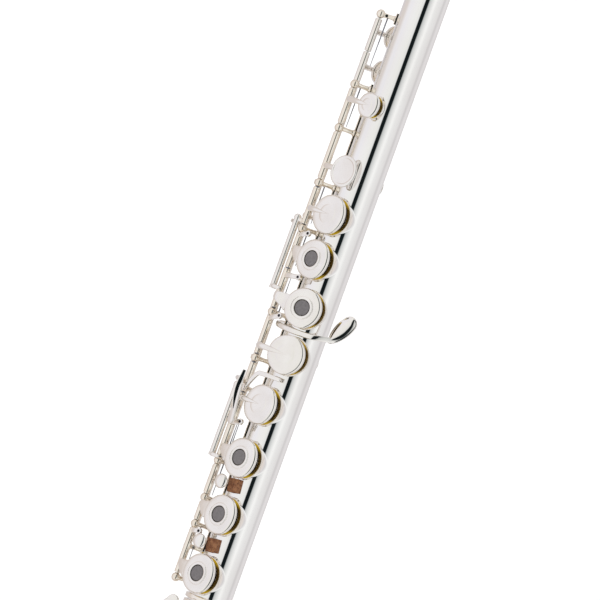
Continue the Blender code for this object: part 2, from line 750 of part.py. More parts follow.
def make_trill_keys():
    """Two closed trill keys; the D key's tube turns on the D sharp key's steel."""
    d_tube = (261.3, 470.2)
    d_solids = [sleeve(TRILL_LINE, *d_tube), cup(D_TRILL_X, TRILL_ROLL, SMALL, False),
                cup_arm(TRILL_LINE, D_TRILL_X, TRILL_ROLL, SMALL, False)] + trill_touch(D_BUTTON_X)
    fuse("d_trill_key", SILVER, d_solids, [sleeve_bore(TRILL_LINE, *d_tube)],
         pivot=on_line(TRILL_LINE, D_TRILL_X))
    pad("d_trill_pad", D_TRILL_X, TRILL_ROLL, SMALL, False, IDENTITY)
    ds_solids = [core(TRILL_LINE, 241.1, 503.6), sleeve(TRILL_LINE, 245.1, 260.7),
                 sleeve(TRILL_LINE, 470.8, 499.6), cup(D_SHARP_TRILL_X, TRILL_ROLL, SMALL, False),
                 cup_arm(TRILL_LINE, D_SHARP_TRILL_X, TRILL_ROLL, SMALL, False)]
    fuse("d_sharp_trill_key", SILVER, ds_solids + trill_touch(D_SHARP_BUTTON_X),
         pivot=on_line(TRILL_LINE, D_SHARP_TRILL_X))
    pad("d_sharp_trill_pad", D_SHARP_TRILL_X, TRILL_ROLL, SMALL, False, IDENTITY)


def make_trill_corks():
    """Cork stops on the tube beside the trill buttons."""
    for name, x in (("d_trill_cork", D_BUTTON_X), ("d_sharp_trill_cork", D_SHARP_BUTTON_X)):
        cork = block((x, -0.5, 10.4), (2 * CORK_HALF_LENGTH, 7.0, 4.0))
        tube = rod((x - 9, 0, 0), (x + 9, 0, 0), TUBE_R + GAP, TUBE_SIDES)
        fuse(name, CORK, [cork], [tube], pivot=Vector((x, 0, TUBE_R)))


# ---------------------------------------------------------------- thumb, G sharp, side lever

def make_thumb_keys():
    """Thumb B key, standing open under the tube, and the B flat lever beside it."""
    lift = swung(THUMB_LINE, -OPEN_ANGLE)
    frame = station(THUMB_X, BACK_ROLL)
    out = frame.to_3x3() @ Vector((0, 0, 1))
    above = CUP_TOP_Z + 1.1
    touch = paddle(frame @ Vector((1.0, 0.5, above)), frame @ Vector((15.0, 2.5, above)), 2.2, 4.2, out)
    solids = [sleeve(THUMB_LINE, 304.6, 327.0), cup(THUMB_X, BACK_ROLL, MEDIUM, False),
              cup_arm(THUMB_LINE, THUMB_X, BACK_ROLL, MEDIUM, False), touch]
    fuse("thumb_b_key", SILVER, solids, [sleeve_bore(THUMB_LINE, 304.6, 327.0)], lift,
         on_line(THUMB_LINE, THUMB_X))
    pad("thumb_b_pad", THUMB_X, BACK_ROLL, MEDIUM, False, lift)

    lever_x = 300.0
    frame = station(lever_x, BACK_ROLL)
    hinge = frame.inverted() @ on_line(THUMB_LINE, lever_x)
    arm = bent([frame @ Vector(p) for p in ((0, hinge.y, hinge.z), (0, 9.4, 15.2), (0, 6.0, 16.2))],
               (1.35, 1.2, 0.9))
    touch = paddle(frame @ Vector((-1.0, 4.5, 16.3)), frame @ Vector((5.4, 2.0, 16.3)), 3.4, 2.6, out)
    fuse("thumb_b_flat_lever", SILVER, [sleeve(THUMB_LINE, 296.0, 304.0), arm, touch],
         [sleeve_bore(THUMB_LINE, 296.0, 304.0)], pivot=on_line(THUMB_LINE, lever_x))


def make_g_sharp_key():
    """G sharp cup under the tube, with the lever that passes over the tube to its leaf."""
    lever = [on_line(THUMB_LINE, 391.4), polar(-98.0, 14.6, 391.4), polar(-75.0, 13.8, 391.6),
             polar(-50.0, 14.0, 392.0), polar(-25.0, 14.4, 392.6), polar(0.0, 14.5, 393.0),
             polar(25.0, 14.8, 393.0), polar(48.0, 16.6, 392.6), Vector((391.0, 18.6, 5.3))]
    radii = (1.3, 1.1, 1.0, 1.0, 1.05, 1.05, 1.05, 1.05, 0.9)
    leaf = paddle((391.4, 18.4, 5.4), (381.0, 22.3, 2.3), 1.8, 3.4, (0.0, 0.633, 0.774))
    solids = [sleeve(THUMB_LINE, 389.2, 409.4), core(THUMB_LINE, 385.4, 413.3),
              cup(G_SHARP_X, BACK_ROLL, MEDIUM, False),
              cup_arm(THUMB_LINE, G_SHARP_X, BACK_ROLL, MEDIUM, False), bent(lever, radii), leaf]
    fuse("g_sharp_key", SILVER, solids, pivot=on_line(THUMB_LINE, G_SHARP_X))
    pad("g_sharp_pad", G_SHARP_X, BACK_ROLL, MEDIUM, False, IDENTITY)


def make_b_flat_side_lever():
    """Side lever: long tube low on the near side with a teardrop touch over the main rod."""
    arm = [on_line(SIDE_LINE, 419.4), Vector((419.4, -21.6, 8.5)), Vector((419.6, -20.2, 12.6)),
           Vector((420.8, -14.2, 15.8))]
    upper = [on_line(SIDE_LINE, 345.6), Vector((345.6, -21.6, 7.0)), Vector((345.6, -21.8, 11.0))]
    touch = paddle((421.8, -13.0, 16.5), (437.2, -12.2, 16.9), 2.2, 3.1, (0, -0.75, 0.66), 1.0)
    solids = [sleeve(SIDE_LINE, 343.6, 422.8), core(SIDE_LINE, 339.9, 426.6),
              bent(arm, (1.2, 1.0, 1.0, 0.9)), bent(upper, (1.2, 0.9, 0.7)), touch]
    fuse("b_flat_side_lever", SILVER, solids, pivot=on_line(SIDE_LINE, 420.0))


# ---------------------------------------------------------------- foot keys

def make_e_flat_key():
    """Closed E flat key with its touch on the near side of the hinge."""
    touch = paddle((527.2, -12.4, 15.0), (544.6, -21.4, 14.2), 2.9, 4.8, (0, -0.08, 1.0), 1.3)
    arm = bent([on_line(MAIN_LINE, 547.0), Vector((547.0, -16.6, 12.9)), Vector((546.0, -20.4, 13.9))],
               (1.3, 1.2, 1.0))
    solids = [sleeve(MAIN_LINE, 539.0, 549.6), core(MAIN_LINE, 535.2, 551.7),
              cup(E_FLAT_X, 0.0, LARGE, False), cup_arm(MAIN_LINE, E_FLAT_X, 0.0, LARGE, False),
              touch, arm]
    fuse("e_flat_key", SILVER, solids, (), FOOT_FRAME, on_line(MAIN_LINE, E_FLAT_X))
    pad("e_flat_pad", E_FLAT_X, 0.0, LARGE, False, FOOT_FRAME)


def make_low_keys():
    """Low C sharp key and low C key, whose steel runs inside the C sharp key's tube."""
    place = FOOT_FRAME @ swung(MAIN_LINE, OPEN_ANGLE)
    touch = paddle((556.2, -11.2, 15.3), (563.6, -11.2, 15.3), 2.5, 2.5, (0, 0, 1))
    arm = bent([on_line(MAIN_LINE, 563.0), Vector((563.0, -13.4, 13.6)), Vector((562.6, -11.6, 15.0))],
               (1.3, 1.1, 0.9))
    solids = [sleeve(MAIN_LINE, 559.9, 583.0), cup(LOW_C_SHARP_X, 0.0, LARGE, False),
              cup_arm(MAIN_LINE, LOW_C_SHARP_X, 0.0, LARGE, False), touch, arm]
    fuse("low_c_sharp_key", SILVER, solids, [sleeve_bore(MAIN_LINE, 559.9, 583.0)], place,
         on_line(MAIN_LINE, LOW_C_SHARP_X))
    pad("low_c_sharp_pad", LOW_C_SHARP_X, 0.0, LARGE, False, place)

    roller_y, roller_z = -5.2, 15.4
    ends = (553.6, 566.0)
    fork = [bent([on_line(MAIN_LINE, 556.8), Vector((556.8, -11.6, 12.4)), Vector((556.8, -8.0, 12.5)),
                  Vector((556.8, roller_y, 12.5))], (1.3, 1.0, 0.9, 0.8)),
            rod((ends[0], roller_y, 12.4), (ends[1], roller_y, 12.4), 0.7, 7),
            rod((ends[0], roller_y, roller_z), (ends[1], roller_y, roller_z), 0.55, 7)]
    fork += [block((x, roller_y, 14.0), (1.0, 1.9, 4.6)) for x in ends]
    solids = [core(MAIN_LINE, 552.3, 621.4), sleeve(MAIN_LINE, 554.4, 559.3),
              sleeve(MAIN_LINE, 583.6, 617.4), cup(LOW_C_X, 0.0, LARGE, False),
              cup_arm(MAIN_LINE, LOW_C_X, 0.0, LARGE, False)] + fork
    fuse("low_c_key", SILVER, solids, (), place, on_line(MAIN_LINE, LOW_C_X))
    pad("low_c_pad", LOW_C_X, 0.0, LARGE, False, place)

    middle = Vector(((ends[0] + ends[1]) / 2, roller_y, roller_z))
    half = (ends[1] - ends[0]) / 2 - 0.5 - GAP
    roller = turned([(0.9, half), (1.8, half), (2.1, half - 0.4), (2.1, 0.4 - half), (1.8, -half),
                     (0.9, -half)], Matrix.Translation(middle) @ Matrix.Rotation(math.pi / 2, 4, 'Y'), 16)
    fuse("low_c_roller", SILVER, [roller], place=place, pivot=middle)


# ---------------------------------------------------------------- build

make_head_tube()
make_lip_plate()
make_riser()
make_crown_and_stopper()
make_barrel()
make_body_tube()
make_foot_tube()
make_main_rib()
make_small_rib("thumb_rib", THUMB_LINE, BACK_RIB_ROLLS, -104.0, THUMB_POSTS)
make_small_rib("g_sharp_rib", THUMB_LINE, BACK_RIB_ROLLS, -104.0, G_SHARP_POSTS)
make_small_rib("foot_rib", MAIN_LINE, RIB_ROLLS, -61.0, FOOT_POSTS, FOOT_FRAME)
make_steels()
make_stack_keys()
make_c_sharp_key()
make_split_e_arm()
make_trill_keys()
make_trill_corks()
make_thumb_keys()
make_g_sharp_key()
make_b_flat_side_lever()
make_e_flat_key()
make_low_keys()
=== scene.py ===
import json
import math

import bmesh
import bpy
from mathutils import Matrix, Vector
from mathutils.geometry import delaunay_2d_cdt


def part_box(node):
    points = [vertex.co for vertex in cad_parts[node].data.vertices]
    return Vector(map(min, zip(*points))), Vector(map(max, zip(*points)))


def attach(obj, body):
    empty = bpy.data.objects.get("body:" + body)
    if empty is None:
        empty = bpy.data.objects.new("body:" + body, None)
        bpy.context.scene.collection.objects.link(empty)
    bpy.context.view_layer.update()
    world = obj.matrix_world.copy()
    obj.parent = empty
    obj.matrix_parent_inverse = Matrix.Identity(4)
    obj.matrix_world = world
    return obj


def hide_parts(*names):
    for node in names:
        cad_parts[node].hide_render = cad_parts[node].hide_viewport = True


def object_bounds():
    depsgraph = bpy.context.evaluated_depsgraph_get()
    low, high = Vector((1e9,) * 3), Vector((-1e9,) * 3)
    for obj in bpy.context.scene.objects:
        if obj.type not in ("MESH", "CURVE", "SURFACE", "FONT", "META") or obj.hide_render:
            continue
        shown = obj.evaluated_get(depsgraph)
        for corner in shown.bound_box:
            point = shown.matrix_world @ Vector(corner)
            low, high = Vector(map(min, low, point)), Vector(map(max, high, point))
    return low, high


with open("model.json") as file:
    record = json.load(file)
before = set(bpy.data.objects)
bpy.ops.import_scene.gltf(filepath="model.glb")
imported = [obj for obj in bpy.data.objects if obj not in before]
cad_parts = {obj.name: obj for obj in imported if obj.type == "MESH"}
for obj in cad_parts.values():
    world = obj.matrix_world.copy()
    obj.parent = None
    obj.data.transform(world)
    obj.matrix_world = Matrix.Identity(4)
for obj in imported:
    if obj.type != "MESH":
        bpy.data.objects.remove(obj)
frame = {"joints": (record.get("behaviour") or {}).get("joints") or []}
CAD_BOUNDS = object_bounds()

# Lengths are in millimetres in the CAD part's frame, and piece() turns them into metres.
# A roll is an angle about the tube from +Z, positive towards +Y, in degrees.
MM = 0.001
WELD = 0.001
ARC = 4                         # segments of a rounded corner
SHARP_ANGLE = 32.0
IDENTITY = Matrix()

# Tubes
TUBE_R, BORE_R = 9.9, 9.5
SLEEVE_BORE_R, SLEEVE_R, RING_R = 10.2, 10.8, 11.4
TUBE_STEP_DEG = 4
SEAM_ROLL = 100.0
BODY_FILLET, FOOT_FILLET = 0.5, 0.35   # of the chimneys where they leave the tube
FOOT_BORE_START = 533.9
LARGE = (7.3, 7.9, 9.35, 9.3)    # hole, chimney, rim and cup radius
MEDIUM = (6.2, 6.8, 7.7, 8.0)
SMALL = (3.4, 4.0, 5.7, 6.05)
RIM_Z = 12.3
RIM_BEAD_R = 0.32
SEAT_Z = RIM_Z + 0.15
CUP_HEIGHT = 2.7
CUP_TOP_Z = SEAT_Z + CUP_HEIGHT
PAD_THICKNESS = 1.7
OPEN_HOLE_R, PLUG_R = 3.85, 3.55
BACK_ROLL, TRILL_ROLL, OFFSET_ROLL = -156.0, -110.0, 17.0
OPEN_ANGLE = 6.5
FOOT_ROLL = 20.0

# Key work
TUBE_OUT_R, TUBE_IN_R, STEEL_R = 1.65, 1.2, 0.9
POST_BALL_R = 2.1
CONNECTOR_R = 1.5
BUTTON_Y = -6.4
TRILL_SKIRT = 0.0
TRILL_PAD_INSET = 1.9
CORK_TRIM, CORK_TURN = 1.2, 8.0
BLADE_ROLL = 36.0               # the blade of the side lever faces this way


# ---------------------------------------------------------------- places from the frame

JOINTS = {joint["name"]: joint for joint in frame["joints"]}


def joint_place(name):
    """Where a joint is, in millimetres."""
    return Vector(JOINTS[name]["pos_m"]) / MM


def hinge(name):
    """Hinge line of a joint: its height and side, with x at zero."""
    place = joint_place(name)
    return Vector((0.0, place.y, place.z))


def low_mm(node):
    """Lowest corner of a CAD node in millimetres."""
    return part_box(node)[0] / MM


def high_mm(node):
    """Highest corner of a CAD node in millimetres."""
    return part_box(node)[1] / MM


def x_range(node):
    """Where a CAD node starts and ends along the tube, in millimetres."""
    return low_mm(node).x, high_mm(node).x


MAIN_LINE = hinge("b_press")
TRILL_LINE = hinge("d_trill_press")
SIDE_LINE = hinge("b_flat_side_lever_press")
THUMB_LINE = hinge("thumb_b_press")
CONNECTOR_LINE = MAIN_LINE + Vector((0.0, -4.0, 0.7))
FOOT_FRAME = Matrix.Rotation(math.radians(-FOOT_ROLL), 4, 'X')

C_SHARP_X = joint_place("c_sharp_press").x
D_TRILL_X = joint_place("d_trill_press").x
D_SHARP_TRILL_X = joint_place("d_sharp_trill_press").x
THUMB_X = joint_place("thumb_b_press").x
G_SHARP_X = joint_place("g_sharp_press").x
E_FLAT_X = joint_place("e_flat_press").x
LOW_C_SHARP_X = joint_place("low_c_sharp_press").x
LOW_C_X = joint_place("low_c_press").x
D_BUTTON_X = sum(x_range("d_trill_cork")) / 2
D_SHARP_BUTTON_X = sum(x_range("d_sharp_trill_cork")) / 2

# name, roll, open hole; the hole's x is its joint's
STACK_KEYS = (
    ("b", 0.0, False), ("a", 0.0, True), ("g", OFFSET_ROLL, True), ("lower_g", OFFSET_ROLL, False),
    ("f_sharp", 0.0, False), ("f", 0.0, True), ("e", 0.0, True), ("d", 0.0, True),
)

# where along the tube each key's hinge tubes start and end, and the steels that turn with keys
HINGE_TUBES = {
    "b": [(327.5, 345.2)], "a": [(349.6, 366.5)], "g": [(367.1, 385.7)], "lower_g": [(390.3, 408.1)],
    "f_sharp": [(427.4, 440.0)], "f": [(440.6, 458.1)], "e": [(480.6, 489.0), (462.7, 476.1)],
    "d": [(493.4, 514.9)], "split_e": [(412.8, 426.8)], "c_sharp": [(279.6, 296.0), (300.8, 322.8)],
    "d_trill": [(261.3, 470.2)], "d_sharp_trill": [(245.1, 260.7), (470.8, 499.6)],
    "thumb_b": [(304.6, 327.0)], "thumb_b_flat": [(296.0, 304.0)], "g_sharp": [(389.2, 409.4)],
    "side_lever": [(343.6, 422.8)], "e_flat": [(539.0, 549.6)], "low_c_sharp": [(559.9, 583.0)],
    "low_c": [(554.4, 559.3), (583.6, 617.4)],
}
STEELS = {
    "e": (460.7, 490.9), "d": (491.5, 518.8), "c_sharp": (275.6, 324.9), "d_sharp_trill": (241.1, 503.6),
    "g_sharp": (385.4, 413.3), "side_lever": (339.9, 426.6), "e_flat": (535.2, 551.7),
    "low_c": (552.3, 621.4),
}

# where along the tube the posts stand, and the rolls of the ribs and of the posts' feet
MAIN_POSTS = (277.2, 298.4, 325.2, 347.4, 388.0, 410.4, 460.4, 478.4, 491.2, 517.2)
TRILL_POSTS = (242.7, 502.0)
TRILL_GUIDES = (325.2, 410.4)
SIDE_POSTS = (341.3, 425.2)
THUMB_POSTS = (293.7, 329.3)
G_SHARP_POSTS = (386.8, 411.9)
FOOT_POSTS = (536.9, 552.0, 619.8)
RIB_ROLLS, MAIN_RIB_START, STRAP_HALF_LENGTH = (-80.0, -57.0), 283.0, 2.6
MAIN_FOOT_ROLL, TRILL_FOOT_ROLL, SIDE_FOOT_ROLL, FOOT_RIB_FOOT_ROLL = -59.5, -66.0, -72.0, -61.0
BACK_RIB_ROLLS, BACK_FOOT_ROLL = (-110.0, -96.0), -104.0


# ---------------------------------------------------------------- materials

BLOTCH_BAND, ROUGH_BAND, SPECK_BAND = (0.35, 0.65), (0.3, 0.7), (0.12, 0.3)
ROUGH_SCALE = 2.3               # of the roughness noise, against the blotches
# painted light: colour, strength and band of the glow painted on the pad skin towards its two ends
PAD_PAINTED_LIGHT, PAD_PAINTED_LIGHT_STRENGTH = (0.52, 0.37, 0.012, 1.0), 0.75
PAD_PAINTED_LIGHT_BAND = (0.27, 0.42)    # from a pad's middle, as a share of its length


def new_node(nodes, kind, **values):
    """Shader node with some of its inputs set; a socket's spaces are underscores here."""
    node = nodes.new("ShaderNode" + kind)
    for socket, value in values.items():
        node.inputs[socket.replace("_", " ")].default_value = value
    return node


def remap(nodes, links, value, band, to_low=0.0, to_high=1.0):
    """Output of a value spread from a band to another range, and held at its ends."""
    node = new_node(nodes, "MapRange", From_Min=band[0], From_Max=band[1], To_Min=to_low, To_Max=to_high)
    links.new(value, node.inputs["Value"])
    return node.outputs["Result"]


def finish(name, light, dark, metallic, rough, blotch, grain, bump, stretch=(1, 1, 1), specks=None,
           painted_reflection=None):
    """Procedural material: two blended colours, varied roughness, fine grain, specks and a warm painted
    reflection.

    rough is the lowest and highest roughness, blotch and grain are noise scales, and bump is the
    grain's strength and depth. specks is a cell scale and a colour. The last argument, a warm painted
    reflection, is a colour, a line along x, and the distances from it where the colour starts and is full.
    """
    made = bpy.data.materials.new(name)
    made.use_nodes = True
    nodes, links = made.node_tree.nodes, made.node_tree.links
    shader = nodes["Principled BSDF"]
    shader.inputs["Metallic"].default_value = metallic
    where = nodes.new("ShaderNodeTexCoord").outputs["Object"]
    scale = new_node(nodes, "Mapping", Scale=stretch)
    links.new(where, scale.inputs["Vector"])

    def noise(size, detail, source):
        texture = new_node(nodes, "TexNoise", Scale=size, Detail=detail)
        links.new(source, texture.inputs["Vector"])
        return texture.outputs["Fac"]

    def mixed(factor, first, second):
        node = nodes.new("ShaderNodeMix")
        node.data_type = 'RGBA'
        links.new(factor, node.inputs["Factor"])
        for socket, colour in ((node.inputs["A"], first), (node.inputs["B"], second)):
            if isinstance(colour, tuple):
                socket.default_value = (*colour, 1.0)
            else:
                links.new(colour, socket)
        return node.outputs["Result"]

    colour = mixed(remap(nodes, links, noise(blotch, 4, where), BLOTCH_BAND), light, dark)
    if specks:
        cells = new_node(nodes, "TexVoronoi", Scale=specks[0])
        links.new(where, cells.inputs["Vector"])
        share = remap(nodes, links, cells.outputs["Distance"], SPECK_BAND, 1.0, 0.0)
        colour = mixed(share, colour, specks[1])
    # Painted reflection: a warm colour mixed in by distance from a line along x, in place of the pads and
    # neighbouring parts mirrored in the metal there.
    if painted_reflection:
        reflection_colour, line, start, full = painted_reflection
        across = nodes.new("ShaderNodeVectorMath")
        across.operation = 'MULTIPLY_ADD'
        across.inputs[1].default_value = (0, 1, 1)
        across.inputs[2].default_value = -line * MM
        links.new(where, across.inputs[0])
        radius = nodes.new("ShaderNodeVectorMath")
        radius.operation = 'LENGTH'
        links.new(across.outputs["Vector"], radius.inputs[0])
        band = (start * MM, full * MM)
        colour = mixed(remap(nodes, links, radius.outputs["Value"], band), colour, reflection_colour)
    links.new(colour, shader.inputs["Base Color"])
    links.new(remap(nodes, links, noise(blotch * ROUGH_SCALE, 3, where), ROUGH_BAND, *rough),
              shader.inputs["Roughness"])
    relief = new_node(nodes, "Bump", Strength=bump[0], Distance=bump[1])
    links.new(noise(grain, 5, scale.outputs["Vector"]), relief.inputs["Height"])
    links.new(relief.outputs["Normal"], shader.inputs["Normal"])
    return made


def paint_light_on_pad_ends(look):
    """Paint light on the skin as a glow towards the two ends of its pad, in place of the light mirrored in
    the rim.
    """
    nodes, links = look.node_tree.nodes, look.node_tree.links
    split = nodes.new("ShaderNodeSeparateXYZ")
    links.new(nodes.new("ShaderNodeTexCoord").outputs["Generated"], split.inputs["Vector"])
    shift, size = nodes.new("ShaderNodeMath"), nodes.new("ShaderNodeMath")
    shift.operation, size.operation = 'SUBTRACT', 'ABSOLUTE'
    shift.inputs[1].default_value = 0.5
    links.new(split.outputs["X"], shift.inputs[0])
    links.new(shift.outputs["Value"], size.inputs[0])
    shader = nodes["Principled BSDF"]
    shader.inputs["Emission Color"].default_value = PAD_PAINTED_LIGHT
    strength = remap(nodes, links, size.outputs["Value"], PAD_PAINTED_LIGHT_BAND, 0.0, PAD_PAINTED_LIGHT_STRENGTH)
    links.new(strength, shader.inputs["Emission Strength"])


# tube silver: painted reflection of the pads, a warm colour on the chimneys from 10.3 to 11.6 mm out from the
# axis
TUBE_SILVER = finish("tube_silver", (0.955, 0.945, 0.935), (0.93, 0.915, 0.90), 1.0, (0.02, 0.07),
                     45, 900, (0.02, 0.00002), (0.15, 1, 1), painted_reflection=((0.93, 0.87, 0.79), Vector(), 10.3, 11.6))
# key silver: painted reflection of the pads and neighbouring parts, a warm colour from 3.0 mm of the main
# hinge line, full within 1.9 mm
KEY_SILVER = finish("key_silver", (0.95, 0.925, 0.895), (0.90, 0.865, 0.825), 1.0, (0.03, 0.11),
                    110, 2600, (0.035, 0.00003), (1, 1, 1), painted_reflection=((0.94, 0.87, 0.775), MAIN_LINE, 3.0, 1.9))
# rod silver: its tan is partly the metal's own tone and partly a painted reflection of the pads and
# neighbouring parts
ROD_SILVER = finish("rod_silver", (0.94, 0.875, 0.78), (0.87, 0.785, 0.67), 1.0, (0.04, 0.12),
                    160, 4200, (0.05, 0.00003), (0.08, 1, 1))
STEEL = finish("spring_steel", (0.34, 0.35, 0.39), (0.20, 0.21, 0.26), 1.0, (0.18, 0.34),
               200, 3600, (0.1, 0.00004), (0.2, 1, 1))
SCREW_STEEL = finish("screw_steel", (0.055, 0.05, 0.055), (0.02, 0.018, 0.02), 0.9, (0.25, 0.45),
                     400, 3200, (0.1, 0.00004))
PAD_SKIN = finish("pad_skin", (0.33, 0.22, 0.05), (0.22, 0.14, 0.03), 0.0, (0.35, 0.55),
                  320, 2600, (0.35, 0.0001), (1, 1, 1), (2100, (0.36, 0.25, 0.03)))


CORK = finish("cork", (0.46, 0.21, 0.10), (0.24, 0.09, 0.04), 0.0, (0.7, 0.92),
              620, 1800, (0.9, 0.00025), (1, 1, 1), (1000, (0.07, 0.03, 0.018)))
PLUG_GREY = finish("plug_grey", (0.27, 0.25, 0.255), (0.215, 0.20, 0.205), 0.0, (0.45, 0.65),
                   900, 5200, (0.3, 0.00006), (1, 1, 1), (3800, (0.17, 0.155, 0.16)))
# painted light: the pad skin glows towards the ends of each pad
paint_light_on_pad_ends(PAD_SKIN)


# ---------------------------------------------------------------- shapes

def polar(roll, radius, x=0.0):
    """Point at a roll angle and a distance from the tube's axis."""
    angle = math.radians(roll)
    return Vector((x, radius * math.sin(angle), radius * math.cos(angle)))


def station(x, roll):
    """Frame on the tube's axis at x whose local +Z points out at that roll."""
    return Matrix.Translation((x, 0, 0)) @ Matrix.Rotation(math.radians(-roll), 4, 'X')


def seat(x, roll):
    """Frame of a cup: on its tone hole's rim, local +Z out of the hole."""
    return station(x, roll) @ Matrix.Translation((0, 0, SEAT_Z))


def along_x(x, line=Vector()):
    """Frame whose local Z is world +X, starting at x on a line."""
    return Matrix.Translation(line + Vector((x, 0, 0))) @ Matrix.Rotation(math.pi / 2, 4, 'Y')


def on_line(line, x):
    """Point of a hinge line at x."""
    return Vector((x, line.y, line.z))


def swung(line, degrees):
    """Rotation about a hinge line; positive lifts what lies on its far side."""
    there = Matrix.Translation(line)
    return there @ Matrix.Rotation(math.radians(degrees), 4, 'X') @ there.inverted()


def skin(bm, rings, closed=False):
    """Faces between rings of points; a ring of one point is a pole."""
    pairs = list(zip(rings, rings[1:]))
    if closed:
        pairs.append((rings[-1], rings[0]))
    for first, second in pairs:
        count = max(len(first), len(second))
        for i in range(count):
            j = (i + 1) % count
            corners = [first[i % len(first)], first[j % len(first)],
                       second[j % len(second)], second[i % len(second)]]
            corners = list(dict.fromkeys(corners))
            if len(corners) > 2:
                bm.faces.new(corners)


def softened(outline):
    """Outline of (radius, height, rounding) points with each corner turned into an arc."""
    count = len(outline)
    result = []
    for i, (radius, height, rounding) in enumerate(outline):
        here = Vector((radius, height))
        if rounding <= 0:
            result.append(here)
            continue
        ends = []
        for other in (outline[i - 1], outline[(i + 1) % count]):
            way = Vector(other[:2]) - here
            ends.append(here + way.normalized() * min(rounding, way.length * 0.5))
        for k in range(ARC + 1):
            share = k / ARC
            result.append(ends[0] * (1 - share) ** 2 + here * 2 * share * (1 - share) + ends[1] * share ** 2)
    return result


def lathe(bm, outline, place=IDENTITY, sides=64):
    """Turn (radius, height, rounding) points about local Z."""
    rings = []
    for radius, height in softened(outline):
        if radius < WELD:
            rings.append([bm.verts.new(place @ Vector((0, 0, height)))])
            continue
        turns = [2 * math.pi * i / sides for i in range(sides)]
        rings.append([bm.verts.new(place @ Vector((radius * math.cos(a), radius * math.sin(a), height)))
                      for a in turns])
    skin(bm, rings, closed=outline[0][0] >= WELD)


def ball(bm, centre, radius, sides=28):
    """Round ball."""
    place = Matrix.Translation(centre) @ Matrix.Rotation(math.pi / 2, 4, 'Y')
    bmesh.ops.create_uvsphere(bm, u_segments=sides, v_segments=sides // 2, radius=radius, matrix=place)


def bar(bm, start, end, radius, end_radius=None, rounding=0.15, sides=24):
    """Round bar or cone with softened ends."""
    start, end = Vector(start), Vector(end)
    along = end - start
    place = Matrix.Translation(start) @ along.to_track_quat('Z', 'Y').to_matrix().to_4x4()
    end_radius = radius if end_radius is None else end_radius
    lathe(bm, [(0, 0, 0), (radius, 0, rounding), (end_radius, along.length, rounding),
               (0, along.length, 0)], place, sides)


def hinge_tube(bm, line, start, end, outer=TUBE_OUT_R, inner=TUBE_IN_R):
    """Tube on a hinge line with softened ends and a fine turned line near each."""
    length = end - start
    lathe(bm, [(inner, 0, 0), (outer, 0, 0.18), (outer, 0.7, 0), (outer - 0.09, 0.8, 0), (outer, 0.9, 0),
               (outer, length - 0.9, 0), (outer - 0.09, length - 0.8, 0), (outer, length - 0.7, 0),
               (outer, length, 0.18), (inner, length, 0)], along_x(start, line), 32)


def core(bm, line, start, end):
    """Steel on a hinge line."""
    bar(bm, on_line(line, start), on_line(line, end), STEEL_R)


def hinge_parts(bm, line, name):
    """A key's hinge tubes, and its steel if it carries one."""
    for start, end in HINGE_TUBES[name]:
        hinge_tube(bm, line, start, end)
    if name in STEELS:
        core(bm, line, *STEELS[name])


def curve_through(controls, steps):
    """Points of a smooth curve through the control vectors."""
    ends = [controls[0] * 2 - controls[1], controls[-1] * 2 - controls[-2]]
    padded = [ends[0]] + controls + [ends[1]]
    result = []
    for a, b, c, d in zip(padded, padded[1:], padded[2:], padded[3:]):
        for k in range(steps):
            t = k / steps
            result.append((b * 2 + (c - a) * t + (a * 2 - b * 5 + c * 4 - d) * t * t
                           + (b * 3 - a - c * 3 + d) * t ** 3) * 0.5)
    result.append(controls[-1])
    return result


def sweep(bm, points, sizes, across=(1, 0, 0), shape=2.0, steps=7, sides=24, place=IDENTITY):
    """Bar through the points; sizes are (half width, half height), width lies towards across."""
    controls = [Vector((*point, *size)) for point, size in zip(points, sizes)]
    stations = curve_through(controls, steps)
    count = len(stations)
    power = 2.0 / shape
    across = Vector(across)
    rings = []
    for i, here in enumerate(stations):
        before, after = stations[max(i - 1, 0)], stations[min(i + 1, count - 1)]
        tangent = Vector(after[:3]) - Vector(before[:3])
        tangent.normalize()
        wide = (across - tangent * across.dot(tangent)).normalized()
        thick = tangent.cross(wide)
        section = []
        for k in range(sides):
            angle = 2 * math.pi * k / sides
            c, s = math.cos(angle), math.sin(angle)
            u = math.copysign(abs(c) ** power, c) * here[3]
            v = math.copysign(abs(s) ** power, s) * here[4]
            section.append(wide * u + thick * v)
        centre = Vector(here[:3])
        caps = []
        if i in (0, count - 1):
            way = -tangent if i == 0 else tangent
            reach = min(here[3], here[4])
            caps = [[centre + way * reach]]
            for angle in (60, 30):
                turn = math.radians(angle)
                shift = way * reach * math.sin(turn)
                caps.append([centre + shift + p * math.cos(turn) for p in section])
        body = [[centre + p for p in section]]
        rings += caps + body if i == 0 else body + caps[::-1]
    skin(bm, [[bm.verts.new(place @ p) for p in ring] for ring in rings])


